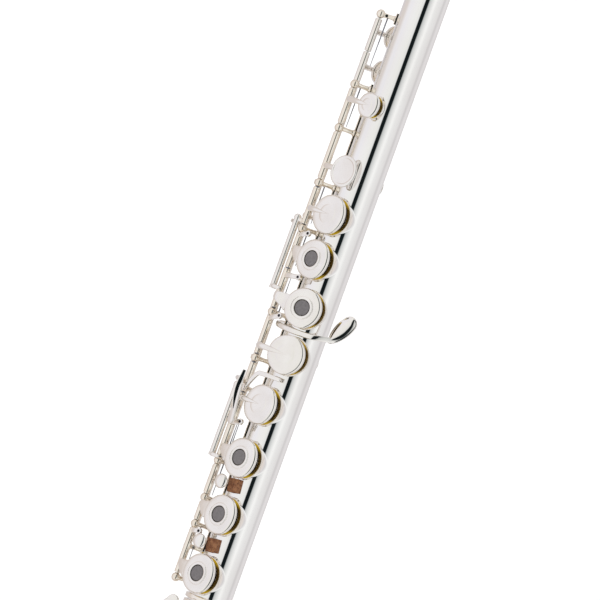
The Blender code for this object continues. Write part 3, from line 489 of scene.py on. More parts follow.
def paddle(bm, start, end, start_r, end_r, normal, thickness=1.2, dome=0.3, place=IDENTITY, belly=0.0):
    """Touch plate with two round ends, a domed face and a rounded edge; belly swells its middle."""
    start, end = Vector(start), Vector(end)
    length = (end - start).length
    forward = (end - start) / length
    side = Vector(normal).cross(forward).normalized()
    up = forward.cross(side)

    def contact(share):
        slope = (end_r - start_r + 4 * belly * (1 - 2 * share)) / length
        return math.acos(max(-0.95, min(0.95, -slope)))

    arc, straight = 24, 16
    tip_turn, root_turn = contact(1.0), contact(0.0)
    spokes = [(1.0, tip_turn - 2 * tip_turn * i / arc) for i in range(arc)]
    spokes += [(1.0 - i / straight, -contact(1.0 - i / straight)) for i in range(straight)]
    spokes += [(0.0, -root_turn - (2 * math.pi - 2 * root_turn) * i / arc) for i in range(arc)]
    spokes += [(i / straight, contact(i / straight)) for i in range(straight)]
    edge = thickness * 0.42
    levels = [(q, 0.0 if q == 0 else edge * q, thickness / 2 + dome * (1 - q * q))
              for q in (0.0, 0.3, 0.55, 0.75, 0.9, 1.0)]
    for angle in range(15, 180, 15):
        turn = math.radians(angle)
        levels.append((1.0, edge * (1 - math.sin(turn)), thickness / 2 * math.cos(turn)))
    levels += [(q, edge * q, -thickness / 2 + dome * (1 - q * q))
               for q in (1.0, 0.9, 0.75, 0.55, 0.3, 0.0)]
    rings = []
    for q, inset, height in levels:
        ring = []
        for share, angle in spokes:
            outer = start_r + (end_r - start_r) * share + belly * 4 * share * (1 - share)
            radius = outer * q - inset
            x = share * length + radius * math.cos(angle)
            y = radius * math.sin(angle)
            ring.append(bm.verts.new(place @ (start + forward * x + side * y + up * height)))
        rings.append(ring)
    skin(bm, rings)


def piece(name, bm, body, look, nodes=(), place=IDENTITY, round_r=None):
    """Finish a mesh as a piece that rides on a CAD body."""
    bmesh.ops.transform(bm, matrix=place, verts=bm.verts)
    bmesh.ops.remove_doubles(bm, verts=bm.verts, dist=WELD)
    bmesh.ops.recalc_face_normals(bm, faces=bm.faces)
    mesh = bpy.data.meshes.new(name)
    bm.to_mesh(mesh)
    bm.free()
    mesh.materials.append(look)
    mesh.shade_smooth()
    mesh.set_sharp_from_angle(angle=math.radians(SHARP_ANGLE))
    if round_r:
        normals = []
        for vertex in mesh.vertices:
            out = Vector((0, vertex.co.y, vertex.co.z))
            normals.append(out.normalized() if abs(out.length - round_r) < 0.002 else Vector())
        mesh.normals_split_custom_set_from_vertices(normals)
    mesh.transform(Matrix.Scale(MM, 4))
    made = bpy.data.objects.new(name, mesh)
    bpy.context.scene.collection.objects.link(made)
    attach(made, body)
    if nodes:
        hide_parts(*nodes)
    return made


def stand_in(node, bm, body=None, look=KEY_SILVER, place=IDENTITY, round_r=None):
    """Piece that stands for a CAD node, on the body of the same name unless another is given."""
    return piece(node + "_fine", bm, body or node, look, (node,), place, round_r)


def turned_piece(node, outline, body, look, sides=96):
    """Piece turned about the tube's axis from (radius, x, rounding) points."""
    bm = bmesh.new()
    lathe(bm, outline, along_x(0.0), sides)
    return stand_in(node, bm, body, look)


# ---------------------------------------------------------------- tubes

def hole_loop(hole, reach, surface_r, sides):
    """Where a cylinder round a tone hole's axis meets a tube surface, unrolled."""
    x, roll, _ = hole
    points = []
    for i in range(sides):
        angle = 2 * math.pi * i / sides
        turn = math.asin(reach * math.sin(angle) / surface_r)
        points.append((x + reach * math.cos(angle), math.radians(roll) + turn))
    return points


def in_hole(point, hole, reach, surface_r):
    """Whether an unrolled point lies in a hole's opening."""
    across = point[1] - math.radians(hole[1])
    if abs(across) > math.pi / 2:
        return False
    return math.hypot(point[0] - hole[0], surface_r * math.sin(across)) < reach


def shell(bm, surface_r, start, end, holes, reaches, sides):
    """Tube surface between two stations with an opening for each hole."""
    count = max(2, round((end - start) / 1.3))
    turns = 360 // TUBE_STEP_DEG
    first = math.radians(SEAM_ROLL - 360)
    points, edges = [], []
    for i in range(count + 1):
        x = start + (end - start) * i / count
        for k in range(turns + 1):
            point = (x, first + 2 * math.pi * k / turns)
            if not any(in_hole(point, hole, reach + 0.35, surface_r)
                       for hole, reach in zip(holes, reaches)):
                points.append(point)
    for hole, reach in zip(holes, reaches):
        offset = len(points)
        points += hole_loop(hole, reach, surface_r, sides)
        edges += [(offset + i, offset + (i + 1) % sides) for i in range(sides)]
    flat = [Vector((x, turn * surface_r)) for x, turn in points]
    verts, _, faces, _, _, _ = delaunay_2d_cdt(flat, edges, [], 0, 0.0001, False)
    made = [bm.verts.new(polar(math.degrees(v.y / surface_r), surface_r, v.x)) for v in verts]
    for face in faces:
        middle = sum((verts[i] for i in face), Vector((0, 0))) / len(face)
        point = (middle.x, middle.y / surface_r)
        if not any(in_hole(point, hole, reach, surface_r) for hole, reach in zip(holes, reaches)):
            bm.faces.new([made[i] for i in face])


def chimney(bm, hole, fillet, sides):
    """Raised tone hole that flows out of the tube, with a rolled rim."""
    x, roll, size = hole
    hole_r, wall_r, rim_r, _ = size
    place = station(x, roll)
    rings = []
    angles = [2 * math.pi * i / sides for i in range(sides)]

    def ring(radius, heights):
        rings.append([bm.verts.new(place @ Vector((radius * math.cos(a), radius * math.sin(a), h)))
                      for a, h in zip(angles, heights)])

    def surface(radius, tube_r):
        return [math.sqrt(tube_r ** 2 - (radius * math.sin(a)) ** 2) for a in angles]

    foot_r = wall_r + fillet
    foot, corner = surface(foot_r, TUBE_R), surface(wall_r, TUBE_R)
    for k in range(7):
        t = k / 6
        radius = foot_r * (1 - t) ** 2 + wall_r * (2 * t * (1 - t) + t * t)
        ring(radius, [a * (1 - t) ** 2 + b * 2 * t * (1 - t) + (b + fillet * 1.3) * t * t
                      for a, b in zip(foot, corner)])
    ring(wall_r, [RIM_Z - RIM_BEAD_R * 2 - 0.6] * sides)
    ring(wall_r + 0.35, [RIM_Z - RIM_BEAD_R * 2 - 0.12] * sides)
    for angle in range(-90, 91, 20):
        turn = math.radians(angle)
        radius = rim_r - RIM_BEAD_R + RIM_BEAD_R * math.cos(turn)
        ring(radius, [RIM_Z - RIM_BEAD_R + RIM_BEAD_R * math.sin(turn)] * sides)
    for radius, drop in ((hole_r + 0.2, 0.0), (hole_r + 0.05, 0.06), (hole_r, 0.25)):
        ring(radius, [RIM_Z - drop] * sides)
    ring(hole_r, surface(hole_r, BORE_R))
    skin(bm, rings)


def drawn_tube(node, start, end, holes, fillet, body, place=IDENTITY, extras=()):
    """Tube with its chimneys drawn out of it."""
    bm = bmesh.new()
    sides = 72
    shell(bm, TUBE_R, start, end, holes, [hole[2][1] + fillet for hole in holes], sides)
    shell(bm, BORE_R, start, end, holes, [hole[2][0] for hole in holes], sides)
    for hole in holes:
        chimney(bm, hole, fillet, sides)
    turns = 360 // TUBE_STEP_DEG
    for x in (start, end):
        rings = []
        for radius in (TUBE_R, BORE_R):
            rings.append([bm.verts.new(polar(SEAM_ROLL - k * TUBE_STEP_DEG, radius, x))
                          for k in range(turns)])
        skin(bm, rings)
    for outline in extras:
        lathe(bm, outline, along_x(0.0), 96)
    stand_in(node, bm, body, TUBE_SILVER, place, TUBE_R)


def make_body_tube():
    """Body tube and the ring before the foot."""
    start, end = x_range("body_tube")
    holes = [(joint_place(name + "_press").x, roll, LARGE) for name, roll, _ in STACK_KEYS]
    holes += [(C_SHARP_X, 0.0, SMALL), (D_SHARP_TRILL_X, TRILL_ROLL, SMALL),
              (D_TRILL_X, TRILL_ROLL, SMALL), (THUMB_X, BACK_ROLL, MEDIUM),
              (G_SHARP_X, BACK_ROLL, MEDIUM)]
    ring = [(TUBE_R - 0.2, 521.4, 0), (TUBE_R, 521.4, 0), (RING_R, 521.6, 0.5), (RING_R, 523.7, 0.5),
            (TUBE_R, 523.9, 0), (TUBE_R - 0.2, 523.9, 0)]
    drawn_tube("body_tube", start, end, holes, BODY_FILLET, "body", extras=[ring])


def make_foot_tube():
    """Foot tube, its socket and its end ring."""
    start, end = x_range("foot_tube")
    holes = [(x, 0.0, LARGE) for x in (E_FLAT_X, LOW_C_SHARP_X, LOW_C_X)]
    socket = [(SLEEVE_BORE_R, start, 0.1), (RING_R, start, 0.4), (RING_R, start + 2.0, 0.5),
              (SLEEVE_R, start + 2.4, 0.3), (SLEEVE_R, 534.0, 0.3), (TUBE_R - 0.05, 534.6, 0.1),
              (BORE_R, 534.2, 0), (SLEEVE_BORE_R, 533.8, 0)]
    ring = [(TUBE_R - 0.2, end - 2.5, 0), (TUBE_R, end - 2.4, 0), (TUBE_R + 0.8, end - 2.1, 0.4),
            (TUBE_R + 0.8, end, 0.3), (TUBE_R - 0.2, end, 0)]
    drawn_tube("foot_tube", FOOT_BORE_START, end, holes, FOOT_FILLET, "foot", FOOT_FRAME, [socket, ring])


def make_barrel():
    """Socket that the head joint slides in, with a bead at each end."""
    start, end = x_range("barrel")
    turned_piece("barrel", [
        (SLEEVE_BORE_R, start, 0.1), (RING_R - 0.1, start, 0.3), (RING_R, start + 1.0, 0.4),
        (RING_R - 0.1, start + 2.0, 0.3), (SLEEVE_R, start + 2.1, 0.1), (SLEEVE_R, start + 12.0, 0),
        (SLEEVE_R, end - 12.0, 0), (SLEEVE_R, end - 2.1, 0.1), (RING_R - 0.1, end - 2.0, 0.3),
        (RING_R, end - 1.0, 0.4), (RING_R - 0.1, end, 0.3), (SLEEVE_BORE_R, end, 0.1),
    ], "body", TUBE_SILVER)


# ---------------------------------------------------------------- head joint

EMBOUCHURE_HALF = (6.1, 5.1)
LIP_ROLLS = (-88.0, 66.0)
LIP_TOP_R, LIP_EDGE_R, LIP_HALF_LENGTH, LIP_THICKNESS = 14.0, 10.9, 32.0, 0.9
HEAD_START, HEAD_TAPER_END, HEAD_SMALL_R = 11.4, 165.0, 8.9
THREAD_START, THREAD_PITCH, THREAD_TURNS = 5.6, 0.7, 24


def head_radius(x):
    """Outer radius of the head tube, wider towards the body."""
    share = min(1.0, max(0.0, (x - HEAD_START) / (HEAD_TAPER_END - HEAD_START)))
    return HEAD_SMALL_R + (TUBE_R - HEAD_SMALL_R) * math.sqrt(share)


def oval(half_x, half_y, height, middle_x, sides=72):
    """Points of an oval at a height over the embouchure."""
    turns = [2 * math.pi * i / sides for i in range(sides)]
    return [Vector((middle_x + half_x * math.cos(a), half_y * math.sin(a), height)) for a in turns]


def make_head_tube(middle_x):
    """Tapered head tube with the opening under the riser."""
    start, end = x_range("head_tube")
    stations = [start, start + 0.4, start + 1.2]
    stations += [start + (end - start) * (i / 26) ** 1.3 for i in range(2, 27)]
    wall = TUBE_R - BORE_R
    outline = [(head_radius(x), x, 0) for x in stations]
    outline += [(head_radius(x) - wall, x, 0) for x in reversed(stations)]
    made = turned_piece("head_tube", outline, "head", TUBE_SILVER)
    cutter = bmesh.new()
    rings = [oval(*EMBOUCHURE_HALF, height, middle_x) for height in (5.0, 12.0)]
    loops = [[cutter.verts.new(p) for p in ring] for ring in rings]
    skin(cutter, loops)
    cutter.faces.new(loops[0][::-1])
    cutter.faces.new(loops[1])
    bmesh.ops.recalc_face_normals(cutter, faces=cutter.faces)
    bmesh.ops.transform(cutter, matrix=Matrix.Scale(MM, 4), verts=cutter.verts)
    mesh = bpy.data.meshes.new("opening")
    cutter.to_mesh(mesh)
    cutter.free()
    opening = bpy.data.objects.new("opening", mesh)
    bpy.context.scene.collection.objects.link(opening)
    modifier = made.modifiers.new("opening", 'BOOLEAN')
    modifier.operation = 'DIFFERENCE'
    modifier.solver = 'EXACT'
    modifier.object = opening
    depsgraph = bpy.context.evaluated_depsgraph_get()
    cut_mesh = bpy.data.meshes.new_from_object(made.evaluated_get(depsgraph))
    made.modifiers.clear()
    made.data = cut_mesh
    bpy.data.objects.remove(opening)


def lip_radius(roll):
    """Height of the lip plate's middle surface over the tube's axis."""
    limit = LIP_ROLLS[1] if roll > 0 else LIP_ROLLS[0]
    return LIP_TOP_R - (LIP_TOP_R - LIP_EDGE_R) * (roll / limit) ** 2


def make_lip_plate(middle_x):
    """Curved oval plate round the embouchure, its edges rounded."""
    bm = bmesh.new()
    low, high = LIP_ROLLS
    middle_roll, half_roll = (low + high) / 2, (high - low) / 2
    hole_roll = math.degrees(math.asin(EMBOUCHURE_HALF[1] / LIP_TOP_R))
    half = LIP_THICKNESS / 2
    shares = [0.0, 0.006, 0.02] + [0.05 + 0.92 * i / 22 for i in range(23)] + [0.985, 0.995, 1.0]
    lifts = [0.0, 0.6, 0.95] + [1.0] * 23 + [0.9, 0.55, 0.0]
    levels = [(s, half * lift) for s, lift in zip(shares, lifts)]
    levels += [(s, -half * lift) for s, lift in list(zip(shares, lifts))[-2:0:-1]]
    sides = 120
    rings = []
    for share, lift in levels:
        ring = []
        for i in range(sides):
            angle = 2 * math.pi * i / sides
            half_x = EMBOUCHURE_HALF[0] + (LIP_HALF_LENGTH - EMBOUCHURE_HALF[0]) * share
            roll = middle_roll * share + (hole_roll + (half_roll - hole_roll) * share) * math.sin(angle)
            x = middle_x + half_x * math.cos(angle)
            ring.append(bm.verts.new(polar(roll, lip_radius(roll) + lift, x)))
        rings.append(ring)
    skin(bm, rings, closed=True)
    stand_in("lip_plate", bm, "head")


def make_riser(middle_x):
    """Oval chimney between the head tube and the lip plate, flared at its foot."""
    bm = bmesh.new()
    half_x, half_y = EMBOUCHURE_HALF
    tube_r = head_radius(middle_x)
    rings = []
    for grow, height in ((0.0, None), (0.0, 12.9), (1.2, 12.9), (1.2, 11.2), (1.5, 10.4), (2.1, None)):
        ring = oval(half_x + grow, half_y + grow, 0.0, middle_x)
        for point in ring:
            point.z = math.sqrt(tube_r ** 2 - point.y ** 2) - 0.1 if height is None else height
        rings.append([bm.verts.new(p) for p in ring])
    skin(bm, rings, closed=True)
    stand_in("riser", bm, "head")


def make_crown_and_stopper():
    """Crown, the screw with two plates behind it, and the cork between the plates."""
    turned_piece("crown", [
        (0, 0.0, 0), (6.2, 0.0, 0.6), (8.2, 0.9, 0.6), (9.3, 2.5, 0.6), (9.6, 4.0, 0.3), (9.6, 5.2, 0.2),
        (9.35, 5.5, 0.1), (9.35, 6.0, 0.1), (9.6, 6.3, 0.2), (9.6, 9.4, 0.4), (9.2, 10.7, 0.3),
        (8.9, 11.0, 0.1), (8.1, 11.0, 0.05), (8.1, 15.0, 0.2), (1.95, 15.0, 0.2), (1.95, 3.2, 0), (0, 3.2, 0),
    ], "crown", KEY_SILVER)
    thread = []
    for i in range(THREAD_TURNS):
        x = THREAD_START + i * THREAD_PITCH
        thread += [(1.6, x, 0), (1.35, x + THREAD_PITCH / 2, 0)]
    turned_piece("stopper_screw", [(0, 5.2, 0), (1.3, 5.2, 0.1)] + thread + [
        (1.6, 23.0, 0), (1.6, 23.5, 0), (8.1, 23.5, 0.2), (8.1, 24.7, 0.2), (1.6, 24.7, 0),
        (1.6, 38.7, 0), (8.2, 38.7, 0.2), (8.2, 39.7, 0.2), (0, 39.7, 0),
    ], "stopper", ROD_SILVER, sides=64)
    turned_piece("stopper_cork", [
        (1.9, 25.0, 0.1), (8.1, 25.0, 0.4), (8.15, 31.7, 3.0), (8.1, 38.4, 0.4), (1.9, 38.4, 0.1),
    ], "stopper", CORK, 64)


# ---------------------------------------------------------------- ribs, posts and springs

def rib_strip(bm, rolls, start, end):
    """Strip that follows the tube, with softened long edges."""
    low, high = TUBE_R - 0.05, 11.0
    section = []
    for i in range(13):
        share = i / 12
        edge = min(share, 1 - share)
        drop = 0.35 * max(0.0, 1 - edge / 0.08) ** 2
        section.append((rolls[0] + (rolls[1] - rolls[0]) * share, high - drop))
    section += [(roll, low) for roll, _ in reversed(section)]
    rings = [[bm.verts.new(polar(roll, radius, x)) for roll, radius in section]
             for x in (start, start + 0.3, end - 0.3, end)]
    skin(bm, rings)
    bm.faces.new(rings[0][::-1])
    bm.faces.new(rings[-1])


def post(bm, line, x, foot_roll):
    """Ball-headed post with a turned foot."""
    foot = polar(foot_roll, 10.8, x)
    head = on_line(line, x)
    along = head - foot
    place = Matrix.Translation(foot) @ along.to_track_quat('Z', 'Y').to_matrix().to_4x4()
    neck = along.length - POST_BALL_R * 0.8
    lathe(bm, [(0, 0, 0), (1.75, 0, 0), (1.7, 0.3, 0.2), (1.15, 0.8, 0.4), (0.95, neck * 0.6, 0.8),
               (1.15, neck, 0.2), (0, neck + 0.5, 0)], place, 28)
    ball(bm, head, POST_BALL_R)


def make_main_rib():
    """Long rib with its posts."""
    bm = bmesh.new()
    rib_strip(bm, RIB_ROLLS, MAIN_RIB_START, high_mm("main_rib").x)
    for x in (MAIN_POSTS[0], TRILL_POSTS[0]):
        rib_strip(bm, RIB_ROLLS, x - STRAP_HALF_LENGTH, x + STRAP_HALF_LENGTH)
    rows = ((MAIN_LINE, MAIN_POSTS, MAIN_FOOT_ROLL), (TRILL_LINE, TRILL_POSTS, TRILL_FOOT_ROLL),
            (SIDE_LINE, SIDE_POSTS, SIDE_FOOT_ROLL))
    for line, posts, foot_roll in rows:
        for x in posts:
            post(bm, line, x, foot_roll)
    for x in TRILL_GUIDES:
        lathe(bm, [(1.95, x - 1.1, 0.2), (2.6, x - 1.1, 0.4), (2.6, x + 1.1, 0.4), (1.95, x + 1.1, 0.2)],
              along_x(0.0, TRILL_LINE), 28)
    stand_in("main_rib", bm, "body", ROD_SILVER)


def make_small_rib(name, line, rolls, foot_roll, posts, body, place=IDENTITY):
    """Short rib with the posts of one hinge line."""
    bm = bmesh.new()
    rib_strip(bm, rolls, posts[0] - 1.6, posts[-1] + 2.6)
    for x in posts:
        post(bm, line, x, foot_roll)
    stand_in(name, bm, body, ROD_SILVER, place=place)


# post's x, end's x, side and height of the spring
SPRINGS = (
    (277.2, 297.0, -12.2, 8.9), (325.2, 344.2, -12.2, 9.0), (347.4, 365.0, -12.2, 9.2),
    (388.0, 370.5, -12.2, 9.2), (460.4, 439.4, -12.6, 9.2), (460.4, 439.0, -11.0, 10.2),
    (460.4, 476.5, -12.2, 9.2), (491.2, 507.5, -12.2, 9.0), (243.6, 266.9, -13.1, 6.2),
)


def make_springs():
    """Needle springs that stand out of the posts, and the loose steels."""
    bm = bmesh.new()
    for start, end, y, z in SPRINGS:
        bar(bm, (start, y - 0.2, z - 0.5), (end, y, z), 0.34, 0.14, 0.05, 12)
    piece("needle_springs", bm, "body", STEEL)
    for node, line in (("main_steel", MAIN_LINE), ("thumb_steel", THUMB_LINE)):
        bm = bmesh.new()
        core(bm, line, *x_range(node))
        stand_in(node, bm, "body", STEEL)


# ---------------------------------------------------------------- cups, pads and arms

def closed_cup(bm, x, roll, radius, skirt):
    """Softly domed cup with a turned ring on its face; the skirt is its edge's height over the seat."""
    edge = radius - 0.05
    lathe(bm, [
        (0, 2.78, 0), (radius * 0.34, 2.76, 0.5), (radius * 0.45, 2.66, 0.4), (radius * 0.50, 2.50, 0.3),
        (radius * 0.56, 2.50, 0.4), (radius * 0.78, 2.46, 1.0), (radius - 0.62, 2.18, 0.6),
        (edge, 1.45, 0.4), (edge, 1.0, 0.1), (edge - 0.12, 0.92, 0.05), (radius, 0.82, 0.05),
        (radius, skirt, 0.1), (radius - 0.5, skirt, 0.05), (radius - 0.5, 1.95, 0.2), (0, 2.0, 0),
    ], seat(x, roll), 96)


def open_cup(bm, x, roll, radius):
    """Cup with a raised ring round its hole and a groove outside the ring."""
    edge = radius - 0.05
    lathe(bm, [
        (OPEN_HOLE_R, 1.95, 0.1), (OPEN_HOLE_R, 2.7, 0.2), (OPEN_HOLE_R + 0.5, 2.85, 0.3),
        (5.1, 2.8, 0.2), (5.3, 2.42, 0.1), (5.45, 2.38, 0.05), (5.6, 2.52, 0.15),
        (radius * 0.78, 2.5, 1.2), (radius - 0.75, 2.3, 0.5), (edge, 1.6, 0.35), (edge, 1.0, 0.1),
        (edge - 0.12, 0.92, 0.05), (radius, 0.82, 0.05), (radius, 0.5, 0.1), (radius - 0.5, 0.5, 0.05),
        (radius - 0.5, 1.95, 0.2),
    ], seat(x, roll), 96)


def make_pad(name, x, roll, radius, place=IDENTITY, open_hole=False, inset=0.75):
    """Pad under a cup: a soft skin bulging a little at its edge."""
    bm = bmesh.new()
    outer = radius - inset
    inner = OPEN_HOLE_R + 0.45 if open_hole else 0.0
    outline = [(inner, PAD_THICKNESS, 0), (outer, PAD_THICKNESS, 0.1), (outer + 0.12, 0.9, 0.5),
               (outer, 0.12, 0.5), (outer - 1.2, 0.0, 0.5), (inner, 0.0, 0)]
    lathe(bm, outline, seat(x, roll), 80)
    stand_in(name + "_pad", bm, name + "_key", PAD_SKIN, place)


def make_plug(name, x, roll, place):
    """Grey plug in the middle of an open cup."""
    bm = bmesh.new()
    top = 2.62
    lathe(bm, [(0, top - 0.12, 0), (PLUG_R - 0.7, top - 0.1, 0.5), (PLUG_R - 0.15, top, 0.15),
               (PLUG_R, top - 0.25, 0.1), (PLUG_R, 0.9, 0.1), (0, 0.9, 0)], seat(x, roll), 64)
    stand_in(name + "_plug", bm, name + "_key", PLUG_GREY, place)


def cup_arm(bm, line, x, roll, radius, open_hole):
    """Arm from a hinge line to a cup: a pointed ridge, or a web that widens to an open cup."""
    place = station(x, roll)
    start = place.inverted() @ on_line(line, x)
    side = math.copysign(1.0, start.y)
    if open_hole:
        points = [(-1.7, start.y, start.z), (-1.5, start.y * 0.90, CUP_TOP_Z - 2.2),
                  (-0.6, side * radius * 1.10, CUP_TOP_Z - 1.35), (0, side * radius * 0.84, CUP_TOP_Z - 0.9)]
        sizes = [(1.9, 1.35), (2.1, 0.9), (3.3, 0.6), (4.3, 0.5)]
        sweep(bm, points, sizes, shape=2.6, place=place)
        return
    points = [(0, start.y, start.z), (0, start.y * 0.86, max(CUP_TOP_Z - 1.7, start.z + 0.9)),
              (0, side * radius * 0.84, CUP_TOP_Z + 0.1), (0, -side * 0.4, CUP_TOP_Z + 0.05)]
    sizes = [(1.75, 1.4), (1.5, 1.0), (1.15, 0.75), (0.12, 0.12)]
    sweep(bm, points, sizes, shape=1.5, sides=28, place=place)


def cup_on_arm(bm, line, x, roll, radius, open_hole=False, skirt=0.5):
    """Cup with its arm from a hinge line."""
    if open_hole:
        open_cup(bm, x, roll, radius)
    else:
        closed_cup(bm, x, roll, radius, skirt)
    cup_arm(bm, line, x, roll, radius, open_hole)


def lug(bm, screws, line, from_x, tip):
    """Adjusting lug from a hinge tube, with its small dark screw."""
    tip = Vector(tip)
    root = on_line(line, from_x)
    middle = (root + tip) / 2 + Vector((0, 0, 0.9))
    sweep(bm, [root, middle, tip], [(1.5, 1.2), (1.2, 0.6), (1.1, 0.55)], shape=3.0)
    bar(bm, tip - Vector((0, 0, 0.7)), tip + Vector((0, 0, 0.6)), 1.45, 1.4, 0.2)
    bar(screws, tip + Vector((0, 0, 0.2)), tip + Vector((0, 0, 0.75)), 0.72, 0.68, 0.08, 20)


# ---------------------------------------------------------------- keys of the main line

def connector(bm, start, end, arm_x, finger_x):
    """Back connector tube with its carrying arm, finger and ball ends."""
    bar(bm, on_line(CONNECTOR_LINE, start), on_line(CONNECTOR_LINE, end), CONNECTOR_R, rounding=0.3)
    bar(bm, on_line(MAIN_LINE, arm_x), on_line(CONNECTOR_LINE, arm_x), 1.15)
    sweep(bm, [on_line(CONNECTOR_LINE, finger_x), (finger_x, -16.4, 14.6), (finger_x, -12.8, 14.7)],
          [(1.1, 1.0), (1.0, 0.8), (0.8, 0.6)])
    ball(bm, on_line(CONNECTOR_LINE, start), CONNECTOR_R + 0.25)
    lathe(bm, [(0, -0.4, 0), (CONNECTOR_R + 0.15, -0.4, 0.2), (CONNECTOR_R + 0.15, 1.0, 0.2), (0, 1.0, 0)],
          along_x(end - 1.0, CONNECTOR_LINE), 28)


# key, back connector's start and end, and the x of its carrying arm and of its finger
CONNECTORS = {"b": (343.4, 377.9, 344.2, 376.7), "f_sharp": (424.8, 459.4, 436.5, 458.6)}
# key, hinge tube's x of the lug, its tip
LUGS = {
    "a": (350.9, (348.9, -7.9, 13.4)),
    "g": (370.2, (369.2, -4.4, 13.6)),
    "lower_g": (391.4, (388.6, -7.4, 13.3)),
    "f": (442.0, (440.2, -7.6, 13.5)),
    "d": (494.4, (493.6, -8.8, 13.2)),
}


def make_stack_keys():
    """Keys of the main line, standing open as in the CAD; the back connectors stay level."""
    lift = swung(MAIN_LINE, OPEN_ANGLE)
    radius = LARGE[3]
    for name, roll, open_hole in STACK_KEYS:
        x = joint_place(name + "_press").x
        bm, screws = bmesh.new(), bmesh.new()
        cup_on_arm(bm, MAIN_LINE, x, roll, radius, open_hole)
        hinge_parts(bm, MAIN_LINE, name)
        if name in LUGS:
            lug(bm, screws, MAIN_LINE, *LUGS[name])
            piece(name + "_screw", screws, name + "_key", SCREW_STEEL, (), lift)
        bmesh.ops.transform(bm, matrix=lift, verts=bm.verts)
        if name in CONNECTORS:
            connector(bm, *CONNECTORS[name])
        stand_in(name + "_key", bm)
        make_pad(name, x, roll, radius, lift, open_hole)
        if open_hole:
            make_plug(name, x, roll, lift)


def make_c_sharp_key():
    """Small C sharp cup and its rimmed touch plate on one steel."""
    lift = swung(MAIN_LINE, OPEN_ANGLE)
    plate_x, plate_r = 316.7, 7.5
    low, high = CUP_TOP_Z - 1.6, CUP_TOP_Z - 0.2
    bm = bmesh.new()
    cup_on_arm(bm, MAIN_LINE, C_SHARP_X, 0.0, SMALL[3])
    hinge_parts(bm, MAIN_LINE, "c_sharp")
    lathe(bm, [(0, high - 0.35, 0), (plate_r - 1.7, high - 0.38, 0.2), (plate_r - 1.3, high - 0.05, 0.2),
               (plate_r - 0.6, high, 0.3), (plate_r, high - 0.4, 0.3), (plate_r, low + 0.5, 0.2),
               (plate_r - 0.6, low, 0.2), (0, low, 0)], station(plate_x, 0.0), 80)
    sweep(bm, [on_line(MAIN_LINE, plate_x), (plate_x, -11.6, 12.8), (plate_x, -7.4, 13.9),
               (plate_x, -4.0, 14.1)], [(1.7, 1.35), (1.5, 1.0), (1.2, 0.6), (0.9, 0.35)])
    stand_in("c_sharp_key", bm, place=lift)
    make_pad("c_sharp", C_SHARP_X, 0.0, SMALL[3], lift)


def make_split_e_arm():
    """Flat arm beside the lower G cup on its own hinge tube."""
    bm = bmesh.new()
    hinge_parts(bm, MAIN_LINE, "split_e")
    points = [(425.9, -14.2, 11.4), (425.2, -13.2, 13.2), (421.0, -10.6, 14.2), (416.9, -7.9, 14.6),
              (416.2, -5.6, 14.7), (416.1, -1.5, 14.7), (416.2, 4.6, 14.4)]
    sizes = [(1.2, 1.2), (1.15, 0.9), (1.1, 0.7), (1.1, 0.6), (1.1, 0.6), (1.05, 0.6), (0.9, 0.5)]
    sweep(bm, points, sizes, across=(0.75, 0.6, 0.0), shape=3.2)
    stand_in("split_e_arm", bm, "e_key")


# ---------------------------------------------------------------- trill keys and side levers

def trill_touch(bm, x):
    """Domed touch button and its arm under the main rod."""
    lathe(bm, [(0, 16.7, 0), (1.6, 16.5, 0.7), (2.9, 15.85, 0.7), (3.5, 14.9, 0.4),
               (3.1, 14.3, 0.3), (0, 14.3, 0)], Matrix.Translation((x, BUTTON_Y, 0)), 64)
    sweep(bm, [on_line(TRILL_LINE, x), (x, -12.5, 8.0), (x, -9.2, 11.2), (x, -6.7, 13.8),
               (x, BUTTON_Y, 14.6)], [(1.6, 1.2), (1.2, 0.95), (1.1, 0.85), (1.1, 0.8), (1.0, 0.5)])


def make_trill_keys():
    """Two closed trill keys; the D key's tube turns on the D sharp key's steel."""
    radius = SMALL[3]
    keys = (("d_trill", D_TRILL_X, D_BUTTON_X), ("d_sharp_trill", D_SHARP_TRILL_X, D_SHARP_BUTTON_X))
    for name, x, button_x in keys:
        bm = bmesh.new()
        hinge_parts(bm, TRILL_LINE, name)
        cup_on_arm(bm, TRILL_LINE, x, TRILL_ROLL, radius, skirt=TRILL_SKIRT)
        trill_touch(bm, button_x)
        stand_in(name + "_key", bm)
        make_pad(name, x, TRILL_ROLL, radius, inset=TRILL_PAD_INSET)


def make_trill_corks():
    """Cork stops on the tube beside the trill buttons."""
    for name in ("d_trill_cork", "d_sharp_trill_cork"):
        low, high = low_mm(name), high_mm(name)
        high.y -= CORK_TRIM
        bm = bmesh.new()
        bmesh.ops.create_cube(bm, size=1.0)
        for vertex in bm.verts:
            share = vertex.co + Vector((0.5, 0.5, 0.5))
            vertex.co = Vector([low[i] + (high[i] - low[i]) * share[i] for i in range(3)])
        bmesh.ops.subdivide_edges(bm, edges=bm.edges, cuts=5, use_grid_fill=True)
        for vertex in bm.verts:
            if vertex.co.z < high.z - 0.01:
                floor_z = math.sqrt(TUBE_R ** 2 - vertex.co.y ** 2)
                share = (vertex.co.z - low.z) / (high.z - low.z)
                vertex.co.z = floor_z + (high.z - floor_z) * share
        bmesh.ops.bevel(bm, geom=[e for e in bm.edges if e.calc_face_angle(0) > 1.0], offset=0.3,
                        segments=3, affect='EDGES', profile=0.5)
        middle = Matrix.Translation((low + high) / 2)
        turned = middle @ Matrix.Rotation(math.radians(CORK_TURN), 4, 'Z') @ middle.inverted()
        stand_in(name, bm, "body", CORK, turned)


